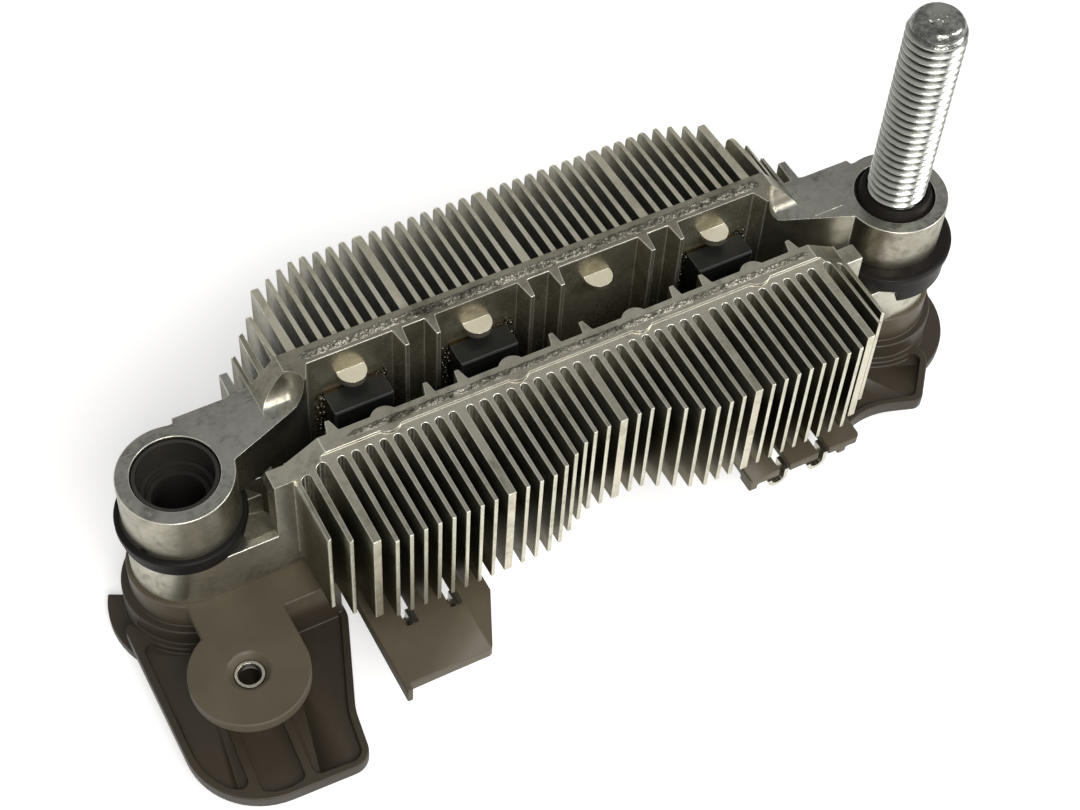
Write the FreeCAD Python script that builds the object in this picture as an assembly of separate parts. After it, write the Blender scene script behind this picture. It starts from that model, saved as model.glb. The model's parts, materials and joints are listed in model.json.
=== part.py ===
import FreeCAD, Part
import math
import os

os.makedirs("parts", exist_ok=True)

# Linear alternator rectifier: two finned die-cast heat sinks face to face, six box diodes between
# them, an insulating moulded terminal board below, and an output stud through the right-hand bosses.
# X runs from the left boss to the right one, +Y towards the positive heat sink, +Z up.
# Everything is drawn about the middle of the two boss axes, with Z = 0 on the plane that the board's
# feet stand on, and is moved at the end so that the origin is at the bottom centre of the whole part.

V = FreeCAD.Vector

# Boss stations and the stack of pieces on each boss axis
BOSS_SPACING = 104.0
BOSS_R = 7.3
BOSS_BORE_R = 5.5
LOWER_BOSS_H = 7.5
UPPER_BOSS_H = 7.5
BUSH_FLANGE_T = 3.0
BUSH_FLANGE_OUT = 0.6
BOARD_Z = 11.5

BOSS_X = BOSS_SPACING / 2
BUSH_FLANGE_R = BOSS_R + BUSH_FLANGE_OUT
LOWER_BOSS_TOP = BOARD_Z + LOWER_BOSS_H
UPPER_BOSS_Z = LOWER_BOSS_TOP + BUSH_FLANGE_T
DECK_Z = UPPER_BOSS_Z + UPPER_BOSS_H

# Running clearances
SLIP = 0.1
SEAT_GAP = 0.15

# How far cutters run past what they cut
OVERCUT = 1.0

# Fins shared by both heat sinks
FIN_PITCH = 1.87
FIN_TIP_T = 0.55
FIN_ROOT_T = 0.75
RIB_FIN_EXTRA = 0.55
FINS_PER_BAY = 8
FIN_BOTTOM_GAP = 2.2
FIN_BOTTOM_Z = BOARD_Z + FIN_BOTTOM_GAP
CENTRE_BAY = (FINS_PER_BAY + 1) * FIN_PITCH + RIB_FIN_EXTRA
FIN_TOP_DROP = 0.4
GAP_FLOOR_FACETS = 4

# Pockets on the inner faces of both heat sinks
POCKET_PITCH = 17.6
POCKET_W = 11.65
SLIM_RECESS_W = 3.1
RIB_FRONT_T = 0.6
RIB_LEAN = 0.1
PAD_R = 1.95
PAD_T = 1.0
REAR_PAD_INSET = 0.45
FRONT_PAD_INSET = 1.1
POST_X = 1.5 * POCKET_PITCH + 0.5 * POCKET_W
DIODE_X = (-1.5 * POCKET_PITCH, -0.5 * POCKET_PITCH, 1.5 * POCKET_PITCH)

# Positive heat sink (rear)
REAR_WALL_FACE_Y = 5.3
REAR_WALL_T = 2.7
REAR_RIB_DEPTH = 2.8
REAR_TOP_RISE = 4.1
REAR_FIN_TIP_Y = 23.1
REAR_FIN_TOP_FALL = 0.9
REAR_FIN_NOSE_R = 1.6
NOSE_FACETS = 4
REAR_END_WALL = 2.975
REAR_HALF_LEN = POST_X + REAR_END_WALL
REAR_HIP_RUN = 3.8
REAR_END_FIN_X = (35.3, 37.1, 38.9, 41.0)
REAR_END_FIN_TIP_Y = (16.6, 14.6, 13.1, 11.4)
REAR_DEEP_END_FINS = 2
REAR_END_FIN_RISE = 2.0
REAR_TIP_EDGE = 1.45 * CENTRE_BAY
REAR_TIP_SLOPE = 0.42
SCOOP_Y = 5.4
SCOOP_OUT = 1.225
SCOOP_X = POST_X + SCOOP_OUT
SCOOP_R = 2.15
SCOOP_FACETS = 5
ARM_REAR_Y = 7.8
ARM_NOTCH_X = 49.3
ARM_INNER_OUT = 0.875
ARM_INNER_X = POST_X + ARM_INNER_OUT
ARM_INNER_Y = 3.3
ARM_DEEP_RUN = 6.5
ARM_DEEP_X = ARM_INNER_X + ARM_DEEP_RUN
ARM_PAD = (39.9, 44.3, 1.1, 7.0)
ARM_PAD_H = 0.08
ARM_TANGENT = 65.0
ARM_TANGENT_RISE = 1.6
ARM_REAR_RUN = 2.0
ARM_REAR_STEP = 3.0
ARM_NOTCH_RUN = 0.2
ARM_FLANK_Y = BOSS_R - 0.25
ARM_WEB_ANGLE = 40.0
ARM_WEB_RUN = 1.2
ARM_WEB_Y = 0.4
ARM_WEB_INNER = (3.0, 1.0)
ARM_WEB_LOW_Y = -2.0

# Negative heat sink (front)
FRONT_WALL_FACE_Y = -4.0
FRONT_WALL_T = 2.45
FRONT_RIB_DEPTH = 1.8
FRONT_TOP_RISE = 2.0
FRONT_FIN_TIP_Y = -21.3
FRONT_NOTCH_TIP_Y = -17.8
FRONT_NOTCH_FLAT = 4.2
FRONT_NOTCH_EDGE = 10.8
FRONT_END_WALL = 2.875
FRONT_HALF_LEN = POST_X + FRONT_END_WALL
FRONT_HIP_RUN = 4.3
FRONT_HIP_DROP = 2.6
FRONT_END_FIN_X = (37.3, 39.3)
FRONT_END_FIN_TIP_Y = (-18.6, -16.6)
FRONT_LAST_FIN_STEP = 1.0
FRONT_LAST_FIN_RUN = 0.2
FRONT_ROOT_OUT = 1.4
FRONT_LEDGE_FALL = 0.35
FRONT_POST_W = 1.6
FRONT_POST_EDGE = (1.1, 0.5)
CORNER_BLOCK_X0 = 39.4
CORNER_BLOCK_X1 = 42.3
CORNER_BLOCK_D = 2.7
CORNER_BLOCK_LAP = 0.9
FRONT_ARM_ANGLE = 40.0
RIGHT_BLOCK_DROP = 0.9
WEB_WALL_T = 1.2
WEB_RECESS_DEPTH = 4.6
WEB_RECESS_FLOOR_RISE = 2.2
WEB_RECESS_BACK_Y = -0.6

# Box diodes: a moulded body on a plated base, with one flat lead down
DIODE_W = 8.2
DIODE_H = 8.6
DIODE_BODY_T = 3.45
DIODE_BASE_T = 0.8
DIODE_BASE_W = 7.8
DIODE_CHAMFER = 0.2
DIODE_BASE_DROP = 0.4
POSITIVE_DIODE_TOP = 2.4
NEGATIVE_DIODE_TOP = 5.5
LEAD_W = 2.0
LEAD_T = 0.7

# Insulating bushes
BUSH_TOP_DROP = 0.4
BUSH_BOLT_R = 3.3
BUSH_HEAD_R = 4.75
BUSH_HEAD_DEPTH = 3.6
BUSH_STEP_R = 4.05
BUSH_STEP_DEPTH = 1.1
BUSH_SPIGOT_L = 2.5
BUSH_LIP_PROUD = 0.35
BUSH_LIP_T = 0.9
STUD_COLLAR_RISE = 1.6
STUD_COLLAR_TOP_R = 4.7
STUD_COLLAR_FOOT_R = 5.2
SKIRT_DROP = 2.0
SKIRT_T = 1.1
SKIRT_CLEAR = 0.5
STUD_BUSH_FLANGE_R = BOSS_R + SKIRT_CLEAR + SKIRT_T
SKIRT_FROM = -108.0
SKIRT_TO = 25.0

# Output stud
STUD_R = 4.0
SHANK_R = 3.8
THREAD_START = 1.4
STUD_RISE = 32.0
STUD_CHAMFER = 1.3
STUD_DOME = 0.5
STUD_CHAMFER_IN = 0.75
STUD_FLAT_SHARE = 0.4
STUD_HEAD_AF = 12.0
STUD_HEAD_H = 4.4
STUD_HEAD_SINK = 0.5

# Terminal board
BOARD_T = 1.8
BOARD_FRONT_Y = -12.3
BOARD_REAR_Y = 6.8
BOARD_LAP = 2.0
BOARD_CORNER_R = 1.0
BOARD_RIGHT_RUN = 1.5
BOLT_HOLE_SLIP = 0.2
BRIDGE_IN = (15.6, 8.0)
BRIDGE_T = 1.2
COLLAR_TOP_OUT = 0.6
COLLAR_LOW_OUT = 1.7
COLLAR_TOP_R = BOSS_R + COLLAR_TOP_OUT
COLLAR_LOW_R = BOSS_R + COLLAR_LOW_OUT
COLLAR_STEP_Z = 7.0
FOOT_T = 1.6
FOOT_LEFT_OUT = 2.3
FOOT_RIGHT_OUT = 2.7
FOOT_LEFT_R = COLLAR_LOW_R + FOOT_LEFT_OUT
FOOT_RIGHT_R = COLLAR_LOW_R + FOOT_RIGHT_OUT
FOOT_CUT_ANGLE = 153.0
WING_Z = 3.5
WING_T = 1.1
RIM_W = 1.0
RIM_H = 0.9
PANEL_CORNER_R = 1.0
PANEL_CLEAR = 0.9
LEFT_RIB_X = (-3.0, 3.7)
LEFT_RIB_LEAN = 0.06
TONGUE_SHIFT = 0.2
TONGUE_X = TONGUE_SHIFT - BOSS_X
TONGUE_Y = -18.9
TONGUE_R = 7.6
TONGUE_NECK_OUT = 3.4
TONGUE_NECK_X = TONGUE_X - TONGUE_NECK_OUT
TONGUE_LAP = 1.0
TONGUE_T = 1.8
SINK_R = 2.7
EYELET_R = 1.9
EYELET_BORE_R = 1.5
EYELET_DEPTH = 0.9
EYELET_LIP = 0.35
TAB_X0 = -35.8
TAB_X1 = -20.1
TAB_Y = -29.4
TAB_CUT_X = 3.6
TAB_CUT_Y = 7.6
TAB_WEB_T = 0.8
TAB_WEB_OUT = 0.9
TAB_WEB_H = 2.6
TAB_CORNER_R = 0.8
TAB_CUT_R = 0.6
SLOT_W = 1.6
TAB_SLOT_X = (-31.0, -24.9)
TAB_SLOT_Y0 = -21.8
TAB_SLOT_Y1 = -16.5
COMB_X0 = 18.1
COMB_X1 = 35.3
COMB_Y = -22.5
COMB_SLOT_X = (23.5, 29.6)
COMB_SLOT_Y1 = -17.0
COMB_T = 1.3
COMB_NIB = 0.9
COMB_NIB_W = 1.3
COMB_NIB_L = 2.5
COMB_NIB_X = (18.1, 32.0)
COMB_CORNER_R = (0.4, 0.8)

# Stamped phase terminals under the board
STRIP_T = 0.6
STRIP_W = 2.2
LEAD_PAD_W = 3.6
STRIP_LAP = 0.3
HOOK_W = 2.2
HOOK_R = 1.5
HOOK_SINK = 0.2
HOOK_RISE = 0.7 * BOARD_T
HOOK_INSET = 0.3
COMB_HOOK_INSET = 0.1
NEAR_RUN_Y = -6.0
FAR_RUN_Y = -9.5
EYELET_FLANGE_W = 0.6


def box(x0, x1, y0, y1, z0, z1):
    """A box between two corners, whichever way round they are given."""
    xa, xb = sorted((x0, x1))
    ya, yb = sorted((y0, y1))
    return Part.makeBox(xb - xa, yb - ya, z1 - z0, V(xa, ya, z0))


def cyl(radius, z0, z1, x=0.0, y=0.0):
    return Part.makeCylinder(radius, z1 - z0, V(x, y, z0))


def cone(r0, r1, z0, z1, x=0.0, y=0.0):
    return Part.makeCone(r0, r1, z1 - z0, V(x, y, z0))


def prism(points, z0, z1):
    """An upright prism on a plan outline."""
    loop = [V(x, y, z0) for x, y in points]
    return Part.Face(Part.makePolygon(loop + [loop[0]])).extrude(V(0, 0, z1 - z0))


def along_y(points, y0, y1):
    """A prism along Y on an XZ outline."""
    loop = [V(x, y0, z) for x, z in points]
    return Part.Face(Part.makePolygon(loop + [loop[0]])).extrude(V(0, y1 - y0, 0))


def along_x(points, x0, x1):
    """A prism along X on a YZ outline."""
    loop = [V(x0, y, z) for y, z in points]
    return Part.Face(Part.makePolygon(loop + [loop[0]])).extrude(V(x1 - x0, 0, 0))


def joined(shapes):
    return shapes[0].multiFuse(shapes[1:]).removeSplitter() if len(shapes) > 1 else shapes[0]


def turned(profile, x, y):
    """A solid of revolution about the upright axis at x, y, from an (r, z) outline."""
    loop = [V(x + r, y, z) for r, z in profile]
    face = Part.Face(Part.makePolygon(loop + [loop[0]]))
    return face.revolve(V(x, y, 0), V(0, 0, 1), 360)


def comb_block(fins, back_y, root_y, z0, z1):
    """Fins grown from a wall, as one upright prism with rounded gap floors.

    Each fin is (x, extra thickness, tip y). Fins run from root_y to their tip, and the wall
    behind them is filled back to back_y.
    """
    out = 1.0 if root_y > back_y else -1.0
    edges = []

    def line(a, b):
        edges.append(Part.LineSegment(V(a[0], a[1], z0), V(b[0], b[1], z0)).toShape())

    half = [(0.5 * (FIN_ROOT_T + extra), 0.5 * (FIN_TIP_T + extra)) for _, extra, _ in fins]
    first = (fins[0][0] - half[0][0], back_y)
    pen = first
    for i, (x, _, tip_y) in enumerate(fins):
        root, tip = half[i]
        for point in ((x - root, root_y), (x - tip, tip_y), (x + tip, tip_y), (x + root, root_y)):
            if (V(*point, 0) - V(*pen, 0)).Length > 1e-6:
                line(pen, point)
            pen = point
        if i + 1 < len(fins):
            start_next = fins[i + 1][0] - half[i + 1][0]
            radius = 0.5 * (start_next - pen[0])
            middle_x = pen[0] + radius
            for k in range(1, GAP_FLOOR_FACETS + 1):
                turn = math.pi * k / GAP_FLOOR_FACETS
                point = (middle_x - radius * math.cos(turn), root_y - out * radius * math.sin(turn))
                line(pen, point)
                pen = point
    last = (pen[0], back_y)
    line(pen, last)
    line(last, first)
    return Part.Face(Part.Wire(edges)).extrude(V(0, 0, z1 - z0))


def bank(outer_bay_fins):
    """X places and extra thickness of the main bank: thick fins with bays of thin ones between."""
    places = [(0.0, RIB_FIN_EXTRA)]
    for sign in (-1, 1):
        x = 0.0
        for bay in (FINS_PER_BAY, outer_bay_fins):
            x += 0.5 * RIB_FIN_EXTRA
            for _ in range(bay):
                x += FIN_PITCH
                places.append((sign * x, 0.0))
            x += FIN_PITCH + 0.5 * RIB_FIN_EXTRA
            places.append((sign * x, RIB_FIN_EXTRA))
    return sorted(places)


def pocket_ribs(face_y, out, depth, z0, z1):
    """The rib beside each pocket and slim recess, tapering to a narrow front edge."""
    ribs = []
    front_y = face_y + out * depth
    slim_x = (-POCKET_PITCH, 0.0, POCKET_PITCH)
    for slim in slim_x:
        for side in (-1, 1):
            inner = slim + side * 0.5 * SLIM_RECESS_W
            outer = slim + side * (POCKET_PITCH - POCKET_W) / 2
            mid = 0.5 * (inner + outer) - side * RIB_LEAN
            ribs.append(prism([(inner, face_y), (outer, face_y),
                               (mid + side * RIB_FRONT_T / 2, front_y),
                               (mid - side * RIB_FRONT_T / 2, front_y)], z0, z1))
    return ribs


def pocket_pads(face_y, out, centre_in, top_z):
    """Half-round pads on the wall above each diode place."""
    return [cyl(PAD_R, top_z - PAD_T, top_z, k * POCKET_PITCH, face_y - out * centre_in)
            for k in (-1.5, -0.5, 0.5, 1.5)]


def hip_cutter(half_len, top_z, run, drop, sign):
    """What is above the sloping end of a heat sink's wall."""
    x0, x1, far = half_len, half_len + run, BOSS_X + 2 * BOSS_R
    high = top_z + OVERCUT
    outline = [(sign * x0, top_z), (sign * x1, top_z - drop), (sign * far, top_z - drop),
               (sign * far, high), (sign * x0, high)]
    return along_y(outline, 2 * FRONT_FIN_TIP_Y, 2 * REAR_FIN_TIP_Y)


def positive_heat_sink():
    top = DECK_Z + REAR_TOP_RISE
    wall_back = REAR_WALL_FACE_Y + REAR_WALL_T
    half = CENTRE_BAY * 2 - FIN_PITCH
    fins = [(x, extra, rear_tip(x)) for x, extra in bank(FINS_PER_BAY - 1)]
    bank_block = comb_block(fins, REAR_WALL_FACE_Y, wall_back, FIN_BOTTOM_Z, top - FIN_TOP_DROP)
    body = [bank_block.common(fin_side_view(wall_back, REAR_FIN_TIP_Y, top - FIN_TOP_DROP)),
            box(-half, half, REAR_WALL_FACE_Y, wall_back, FIN_BOTTOM_Z, top)]
    body += pocket_ribs(REAR_WALL_FACE_Y, -1, REAR_RIB_DEPTH, FIN_BOTTOM_Z, top)
    for s in (-1, 1):
        body += rear_end(s, top, wall_back)
    sink = joined(body)
    for s in (-1, 1):
        sink = sink.cut(scoop(s, top))
        sink = sink.cut(hip_cutter(REAR_HALF_LEN, top, REAR_HIP_RUN, REAR_TOP_RISE, s))
        sink = sink.cut(cyl(BOSS_BORE_R, 0, top, s * BOSS_X))
    pads = pocket_pads(REAR_WALL_FACE_Y, -1, -REAR_PAD_INSET, DECK_Z)
    pads.append(box(*ARM_PAD, DECK_Z, DECK_Z + ARM_PAD_H))
    return joined([sink] + pads)


def fin_side_view(root_y, tip, top):
    """What rear fins keep, seen from the end: tops that fall to a round nose at the tips."""
    nose, low = REAR_FIN_NOSE_R, top - REAR_FIN_TOP_FALL
    outline = [(0, FIN_BOTTOM_Z), (0, top), (root_y, top)]
    for k in range(NOSE_FACETS + 1):
        turn = 0.5 * math.pi * k / NOSE_FACETS
        outline.append((tip - nose + nose * math.sin(turn), low - nose + nose * math.cos(turn)))
    return along_x(outline + [(tip, FIN_BOTTOM_Z)], -BOSS_X, BOSS_X)


def rear_tip(x):
    """Tips of the rear bank lie on a straight line that falls away at both ends."""
    return REAR_FIN_TIP_Y - REAR_TIP_SLOPE * max(0.0, abs(x) - REAR_TIP_EDGE)


def rear_end(s, top, wall_back):
    """Hip, short fins, arm and upper boss at one end of the positive heat sink."""
    pieces = [cyl(BOSS_R, UPPER_BOSS_Z, DECK_Z, s * BOSS_X)]
    wall_end = REAR_END_FIN_X[-1] + 0.5 * (FIN_ROOT_T + RIB_FIN_EXTRA)
    pieces.append(box(s * POST_X, s * wall_end, REAR_WALL_FACE_Y, wall_back, FIN_BOTTOM_Z, top))
    tangent = math.radians(ARM_TANGENT)
    near_x = BOSS_X - BOSS_R * math.sin(tangent)
    near_y = ARM_TANGENT_RISE - BOSS_R * math.cos(tangent)
    share = (ARM_DEEP_X - ARM_INNER_X) / (near_x - ARM_INNER_X)
    deep_y = ARM_INNER_Y + share * (near_y - ARM_INNER_Y)
    post = [(POST_X, wall_back), (POST_X, REAR_WALL_FACE_Y), (ARM_INNER_X, ARM_INNER_Y),
            (ARM_DEEP_X, deep_y), (ARM_DEEP_X, wall_back)]
    pieces.append(prism([(s * x, y) for x, y in post], FIN_BOTTOM_Z, top))
    arm = [(near_x, near_y), (ARM_INNER_X, ARM_INNER_Y),
           (ARM_INNER_X, wall_back), (ARM_DEEP_X + ARM_REAR_RUN, wall_back),
           (ARM_DEEP_X + ARM_REAR_STEP, ARM_REAR_Y), (ARM_NOTCH_X, ARM_REAR_Y),
           (ARM_NOTCH_X + ARM_NOTCH_RUN, ARM_FLANK_Y), (BOSS_X, ARM_FLANK_Y), (BOSS_X, 0)]
    pieces.append(prism([(s * x, y) for x, y in arm], UPPER_BOSS_Z, DECK_Z))
    turn = math.radians(ARM_WEB_ANGLE)
    web = [(BOSS_X - BOSS_R * math.cos(turn), -BOSS_R * math.sin(turn)),
           (near_x - ARM_WEB_RUN, ARM_WEB_Y), (BOSS_X - ARM_WEB_INNER[0], ARM_WEB_INNER[1]),
           (BOSS_X, ARM_WEB_LOW_Y)]
    pieces.append(prism([(s * x, y) for x, y in web], UPPER_BOSS_Z, DECK_Z))
    for i, (x, tip_y) in enumerate(zip(REAR_END_FIN_X, REAR_END_FIN_TIP_Y)):
        extra = RIB_FIN_EXTRA if i == len(REAR_END_FIN_X) - 1 else 0.0
        low = FIN_BOTTOM_Z if i < REAR_DEEP_END_FINS else UPPER_BOSS_Z - REAR_END_FIN_RISE
        fin = comb_block([(s * x, extra, tip_y)], REAR_WALL_FACE_Y, wall_back, low, top)
        pieces.append(fin.common(fin_side_view(wall_back, tip_y, top)))
    return pieces


def scoop(s, top):
    """What is cut away above one arm: a quarter bowl that opens into a channel along the arm."""
    x, y = s * (SCOOP_X + SCOOP_R), SCOOP_Y - SCOOP_R
    far = s * (BOSS_X + 2 * BOSS_R)
    loop = [V(x, y, top)]
    for k in range(SCOOP_FACETS + 1):
        turn = 0.5 * math.pi * k / SCOOP_FACETS
        loop.append(V(x, y + SCOOP_R * math.cos(turn), top - (top - DECK_Z) * math.sin(turn)))
    section = Part.Face(Part.makePolygon(loop + [loop[0]]))
    bowl = section.revolve(V(x, y, 0), V(0, 0, 1), s * 90)
    front = section.rotated(V(x, y, 0), V(0, 0, 1), s * 90).extrude(V(0, -BOSS_R, 0))
    channel = section.extrude(V(far - x, 0, 0))
    return joined([bowl, front, channel, box(x, far, -BOSS_R, y, DECK_Z, top)])


def front_tip(x):
    """Tips of the front bank, stepped back over the middle of the heat sink."""
    a = abs(x)
    if a <= FRONT_NOTCH_FLAT:
        return FRONT_NOTCH_TIP_Y
    if a < FRONT_NOTCH_EDGE:
        share = (a - FRONT_NOTCH_FLAT) / (FRONT_NOTCH_EDGE - FRONT_NOTCH_FLAT)
        return FRONT_NOTCH_TIP_Y + share * (FRONT_FIN_TIP_Y - FRONT_NOTCH_TIP_Y)
    outermost = a > 2 * CENTRE_BAY - FRONT_LAST_FIN_RUN
    return FRONT_FIN_TIP_Y + (FRONT_LAST_FIN_STEP if outermost else 0.0)


def negative_heat_sink():
    top = DECK_Z + FRONT_TOP_RISE
    wall_back = FRONT_WALL_FACE_Y - FRONT_WALL_T
    fins = [(x, extra, front_tip(x)) for x, extra in bank(FINS_PER_BAY)]
    ends = list(zip(FRONT_END_FIN_X, FRONT_END_FIN_TIP_Y))
    fins = ([(-x, 0.0, y) for x, y in reversed(ends)] + fins + [(x, 0.0, y) for x, y in ends])
    fin_block = comb_block(fins, FRONT_WALL_FACE_Y, wall_back - FRONT_ROOT_OUT, FIN_BOTTOM_Z,
                           top - FIN_TOP_DROP)
    body = [fin_block.cut(ledge_cutter(wall_back, top - FIN_TOP_DROP)),
            box(-CORNER_BLOCK_X0, CORNER_BLOCK_X0, wall_back, FRONT_WALL_FACE_Y, BOARD_Z, top)]
    body += pocket_ribs(FRONT_WALL_FACE_Y, 1, FRONT_RIB_DEPTH, FIN_BOTTOM_Z, top)
    body += pocket_pads(FRONT_WALL_FACE_Y, 1, FRONT_PAD_INSET, top)
    for s in (-1, 1):
        far, near = FRONT_POST_EDGE
        body.append(prism([(s * POST_X, FRONT_WALL_FACE_Y), (s * (POST_X + FRONT_POST_W), FRONT_WALL_FACE_Y),
                           (s * (POST_X + far), FRONT_WALL_FACE_Y + FRONT_RIB_DEPTH),
                           (s * (POST_X + near), FRONT_WALL_FACE_Y + FRONT_RIB_DEPTH)],
                          FIN_BOTTOM_Z, top))
    sink = joined(body)
    for s in (-1, 1):
        sink = sink.cut(hip_cutter(FRONT_HALF_LEN, top, FRONT_HIP_RUN, FRONT_HIP_DROP, s))
    for s in (-1, 1):
        sink = joined([sink] + front_end(s))
        sink = sink.cut(cyl(BOSS_BORE_R, 0, top, s * BOSS_X)).cut(web_recess(s))
    return sink


def ledge_cutter(wall_back, top):
    """What is above the front fins and the ledge that falls to them from the wall."""
    low, far = top - FRONT_LEDGE_FALL, 2 * FRONT_FIN_TIP_Y
    outline = [(wall_back, top), (wall_back - FRONT_ROOT_OUT, low), (far, low), (far, top + OVERCUT),
               (wall_back, top + OVERCUT)]
    return along_x(outline, -BOSS_X, BOSS_X)


def front_end(s):
    """Corner block, arm and lower boss at one end of the negative heat sink."""
    pieces = [cyl(BOSS_R, BOARD_Z, LOWER_BOSS_TOP, s * BOSS_X)]
    rear = math.radians(FRONT_ARM_ANGLE)
    inner_x = CORNER_BLOCK_X0 - CORNER_BLOCK_LAP
    pieces.append(prism([(s * BOSS_X, -BOSS_R), (s * inner_x, -BOSS_R), (s * inner_x, FRONT_WALL_FACE_Y),
                         (s * (BOSS_X - BOSS_R * math.cos(rear)), BOSS_R * math.sin(rear)),
                         (s * BOSS_X, 0)], BOARD_Z, LOWER_BOSS_TOP))
    block_top = DECK_Z - (RIGHT_BLOCK_DROP if s > 0 else 0.0)
    pieces.append(box(s * inner_x, s * CORNER_BLOCK_X1, -BOSS_R, -BOSS_R + CORNER_BLOCK_D,
                      LOWER_BOSS_TOP, block_top))
    return pieces


def web_recess(s):
    """The recess between the lower boss and the corner block, with a floor that ramps up to the boss."""
    z0, z1 = LOWER_BOSS_TOP - WEB_RECESS_DEPTH, LOWER_BOSS_TOP
    near = BOSS_X - BOSS_R + WEB_WALL_T
    outline = [(s * CORNER_BLOCK_X0, z0), (s * near, z0 + WEB_RECESS_FLOOR_RISE), (s * near, z1),
               (s * CORNER_BLOCK_X0, z1)]
    recess = along_y(outline, -BOSS_R + WEB_WALL_T, WEB_RECESS_BACK_Y)
    return recess.cut(cyl(BOSS_R, z0, z1, s * BOSS_X))


def diode(x, face_y, out, top_z):
    """Moulded body and plated base of one diode on a heat sink's wall."""
    base_y = face_y + out * DIODE_BASE_T
    base = box(x - DIODE_BASE_W / 2, x + DIODE_BASE_W / 2, face_y, base_y,
               top_z - DIODE_H, top_z - DIODE_BASE_DROP)
    front_y = base_y + out * DIODE_BODY_T
    body = box(x - DIODE_W / 2, x + DIODE_W / 2, base_y, front_y, top_z - DIODE_H, top_z)
    front = [e for e in body.Edges if all(abs(v.Y - front_y) < 1e-6 for v in e.Vertexes)]
    return base, body.makeChamfer(DIODE_CHAMFER, front)


def lead(x, face_y, out, top_z):
    """Flat lead from a diode's lower end to the strip under the board."""
    y = face_y + out * (DIODE_BASE_T + 0.5 * DIODE_BODY_T)
    return box(x - LEAD_W / 2, x + LEAD_W / 2, y - LEAD_T / 2, y + LEAD_T / 2,
               BOARD_Z - BOARD_T - STRIP_T, top_z - DIODE_H)


def bush(s):
    """Flanged insulating bush between the two bosses of one end."""
    outer = BOSS_BORE_R - SLIP
    top = DECK_Z - BUSH_TOP_DROP
    x = s * BOSS_X
    if s < 0:
        foot, flange_r = LOWER_BOSS_TOP - BUSH_SPIGOT_L, BUSH_FLANGE_R
        head = top - BUSH_HEAD_DEPTH
        step = head - BUSH_STEP_DEPTH
        inside = [(BUSH_BOLT_R, foot), (BUSH_BOLT_R, step), (BUSH_STEP_R, step),
                  (BUSH_STEP_R, head), (BUSH_HEAD_R, head), (BUSH_HEAD_R, top)]
    else:
        foot, flange_r = BOARD_Z - BOARD_T, STUD_BUSH_FLANGE_R
        collar_top = top + STUD_COLLAR_RISE
        inside = [(STUD_R + SLIP, foot), (STUD_R + SLIP, collar_top), (STUD_COLLAR_TOP_R, collar_top),
                  (STUD_COLLAR_FOOT_R, top)]
    lip_r = flange_r + BUSH_LIP_PROUD
    lip_z = UPPER_BOSS_Z - BUSH_LIP_PROUD
    profile = inside + [(outer, top), (outer, UPPER_BOSS_Z), (flange_r - BUSH_LIP_PROUD, UPPER_BOSS_Z),
                        (lip_r, lip_z), (lip_r, lip_z - BUSH_LIP_T),
                        (flange_r, lip_z - BUSH_LIP_T - BUSH_LIP_PROUD),
                        (flange_r, LOWER_BOSS_TOP), (outer, LOWER_BOSS_TOP), (outer, foot)]
    piece = turned(profile, x, 0)
    return joined([piece, bush_skirt(x)]) if s > 0 else piece


def bush_skirt(x):
    """Part-round skirt that hangs from the flange in front of the lower boss."""
    z0 = LOWER_BOSS_TOP - SKIRT_DROP
    outer = STUD_BUSH_FLANGE_R
    ring = cyl(outer, z0, LOWER_BOSS_TOP, x).cut(cyl(outer - SKIRT_T, z0, LOWER_BOSS_TOP, x))
    return ring.common(sector(x, 2 * outer, SKIRT_FROM, SKIRT_TO, z0, LOWER_BOSS_TOP))


def sector(x, reach, start, end, z0, z1):
    """A wedge about the axis at x, between two angles in degrees and no wider than 270 of them."""
    steps = 3
    turn = [math.radians(start + (end - start) * k / steps) for k in range(steps + 1)]
    return prism([(x, 0)] + [(x + reach * math.cos(a), reach * math.sin(a)) for a in turn], z0, z1)


def hexagon(across):
    """Plan outline of a hexagon round the right boss axis, by its width across flats."""
    reach = across / math.sqrt(3)
    turn = [math.radians(60 * k) for k in range(6)]
    return [(BOSS_X + reach * math.cos(a), reach * math.sin(a)) for a in turn]


def output_stud():
    """Bolt whose hexagon head is held in the board, with a plain shank where the thread runs."""
    top = DECK_Z + STUD_RISE
    head_z = STUD_HEAD_SINK
    head = prism(hexagon(STUD_HEAD_AF), head_z, head_z + STUD_HEAD_H)
    thread_z = DECK_Z + THREAD_START
    shank = turned([(0, head_z), (SHANK_R, head_z), (SHANK_R, thread_z), (STUD_R, thread_z),
                    (STUD_R, top - STUD_DOME - STUD_CHAMFER),
                    (STUD_R - STUD_CHAMFER * STUD_CHAMFER_IN, top - STUD_DOME),
                    (STUD_R * STUD_FLAT_SHARE, top), (0, top)],
                   BOSS_X, 0)
    return joined([head, shank])


def rounded_outline(points, radii):
    """A closed plan outline whose corners are rounded to the given radii, as (start, mid, end)."""
    n = len(points)
    corners = []
    for i in range(n):
        p = V(points[i][0], points[i][1], 0)
        a = V(points[i - 1][0], points[i - 1][1], 0) - p
        b = V(points[(i + 1) % n][0], points[(i + 1) % n][1], 0) - p
        r = radii[i]
        if r <= 0:
            corners.append((p, None, p))
            continue
        half = 0.5 * a.getAngle(b)
        reach = min(r / math.tan(half), 0.48 * a.Length, 0.48 * b.Length)
        r = reach * math.tan(half)
        ua, ub = a * (1 / a.Length), b * (1 / b.Length)
        bisector = ua + ub
        bisector = bisector * (1 / bisector.Length)
        middle = p + bisector * (r / math.sin(half) - r)
        corners.append((p + ua * reach, middle, p + ub * reach))
    return corners


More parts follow.
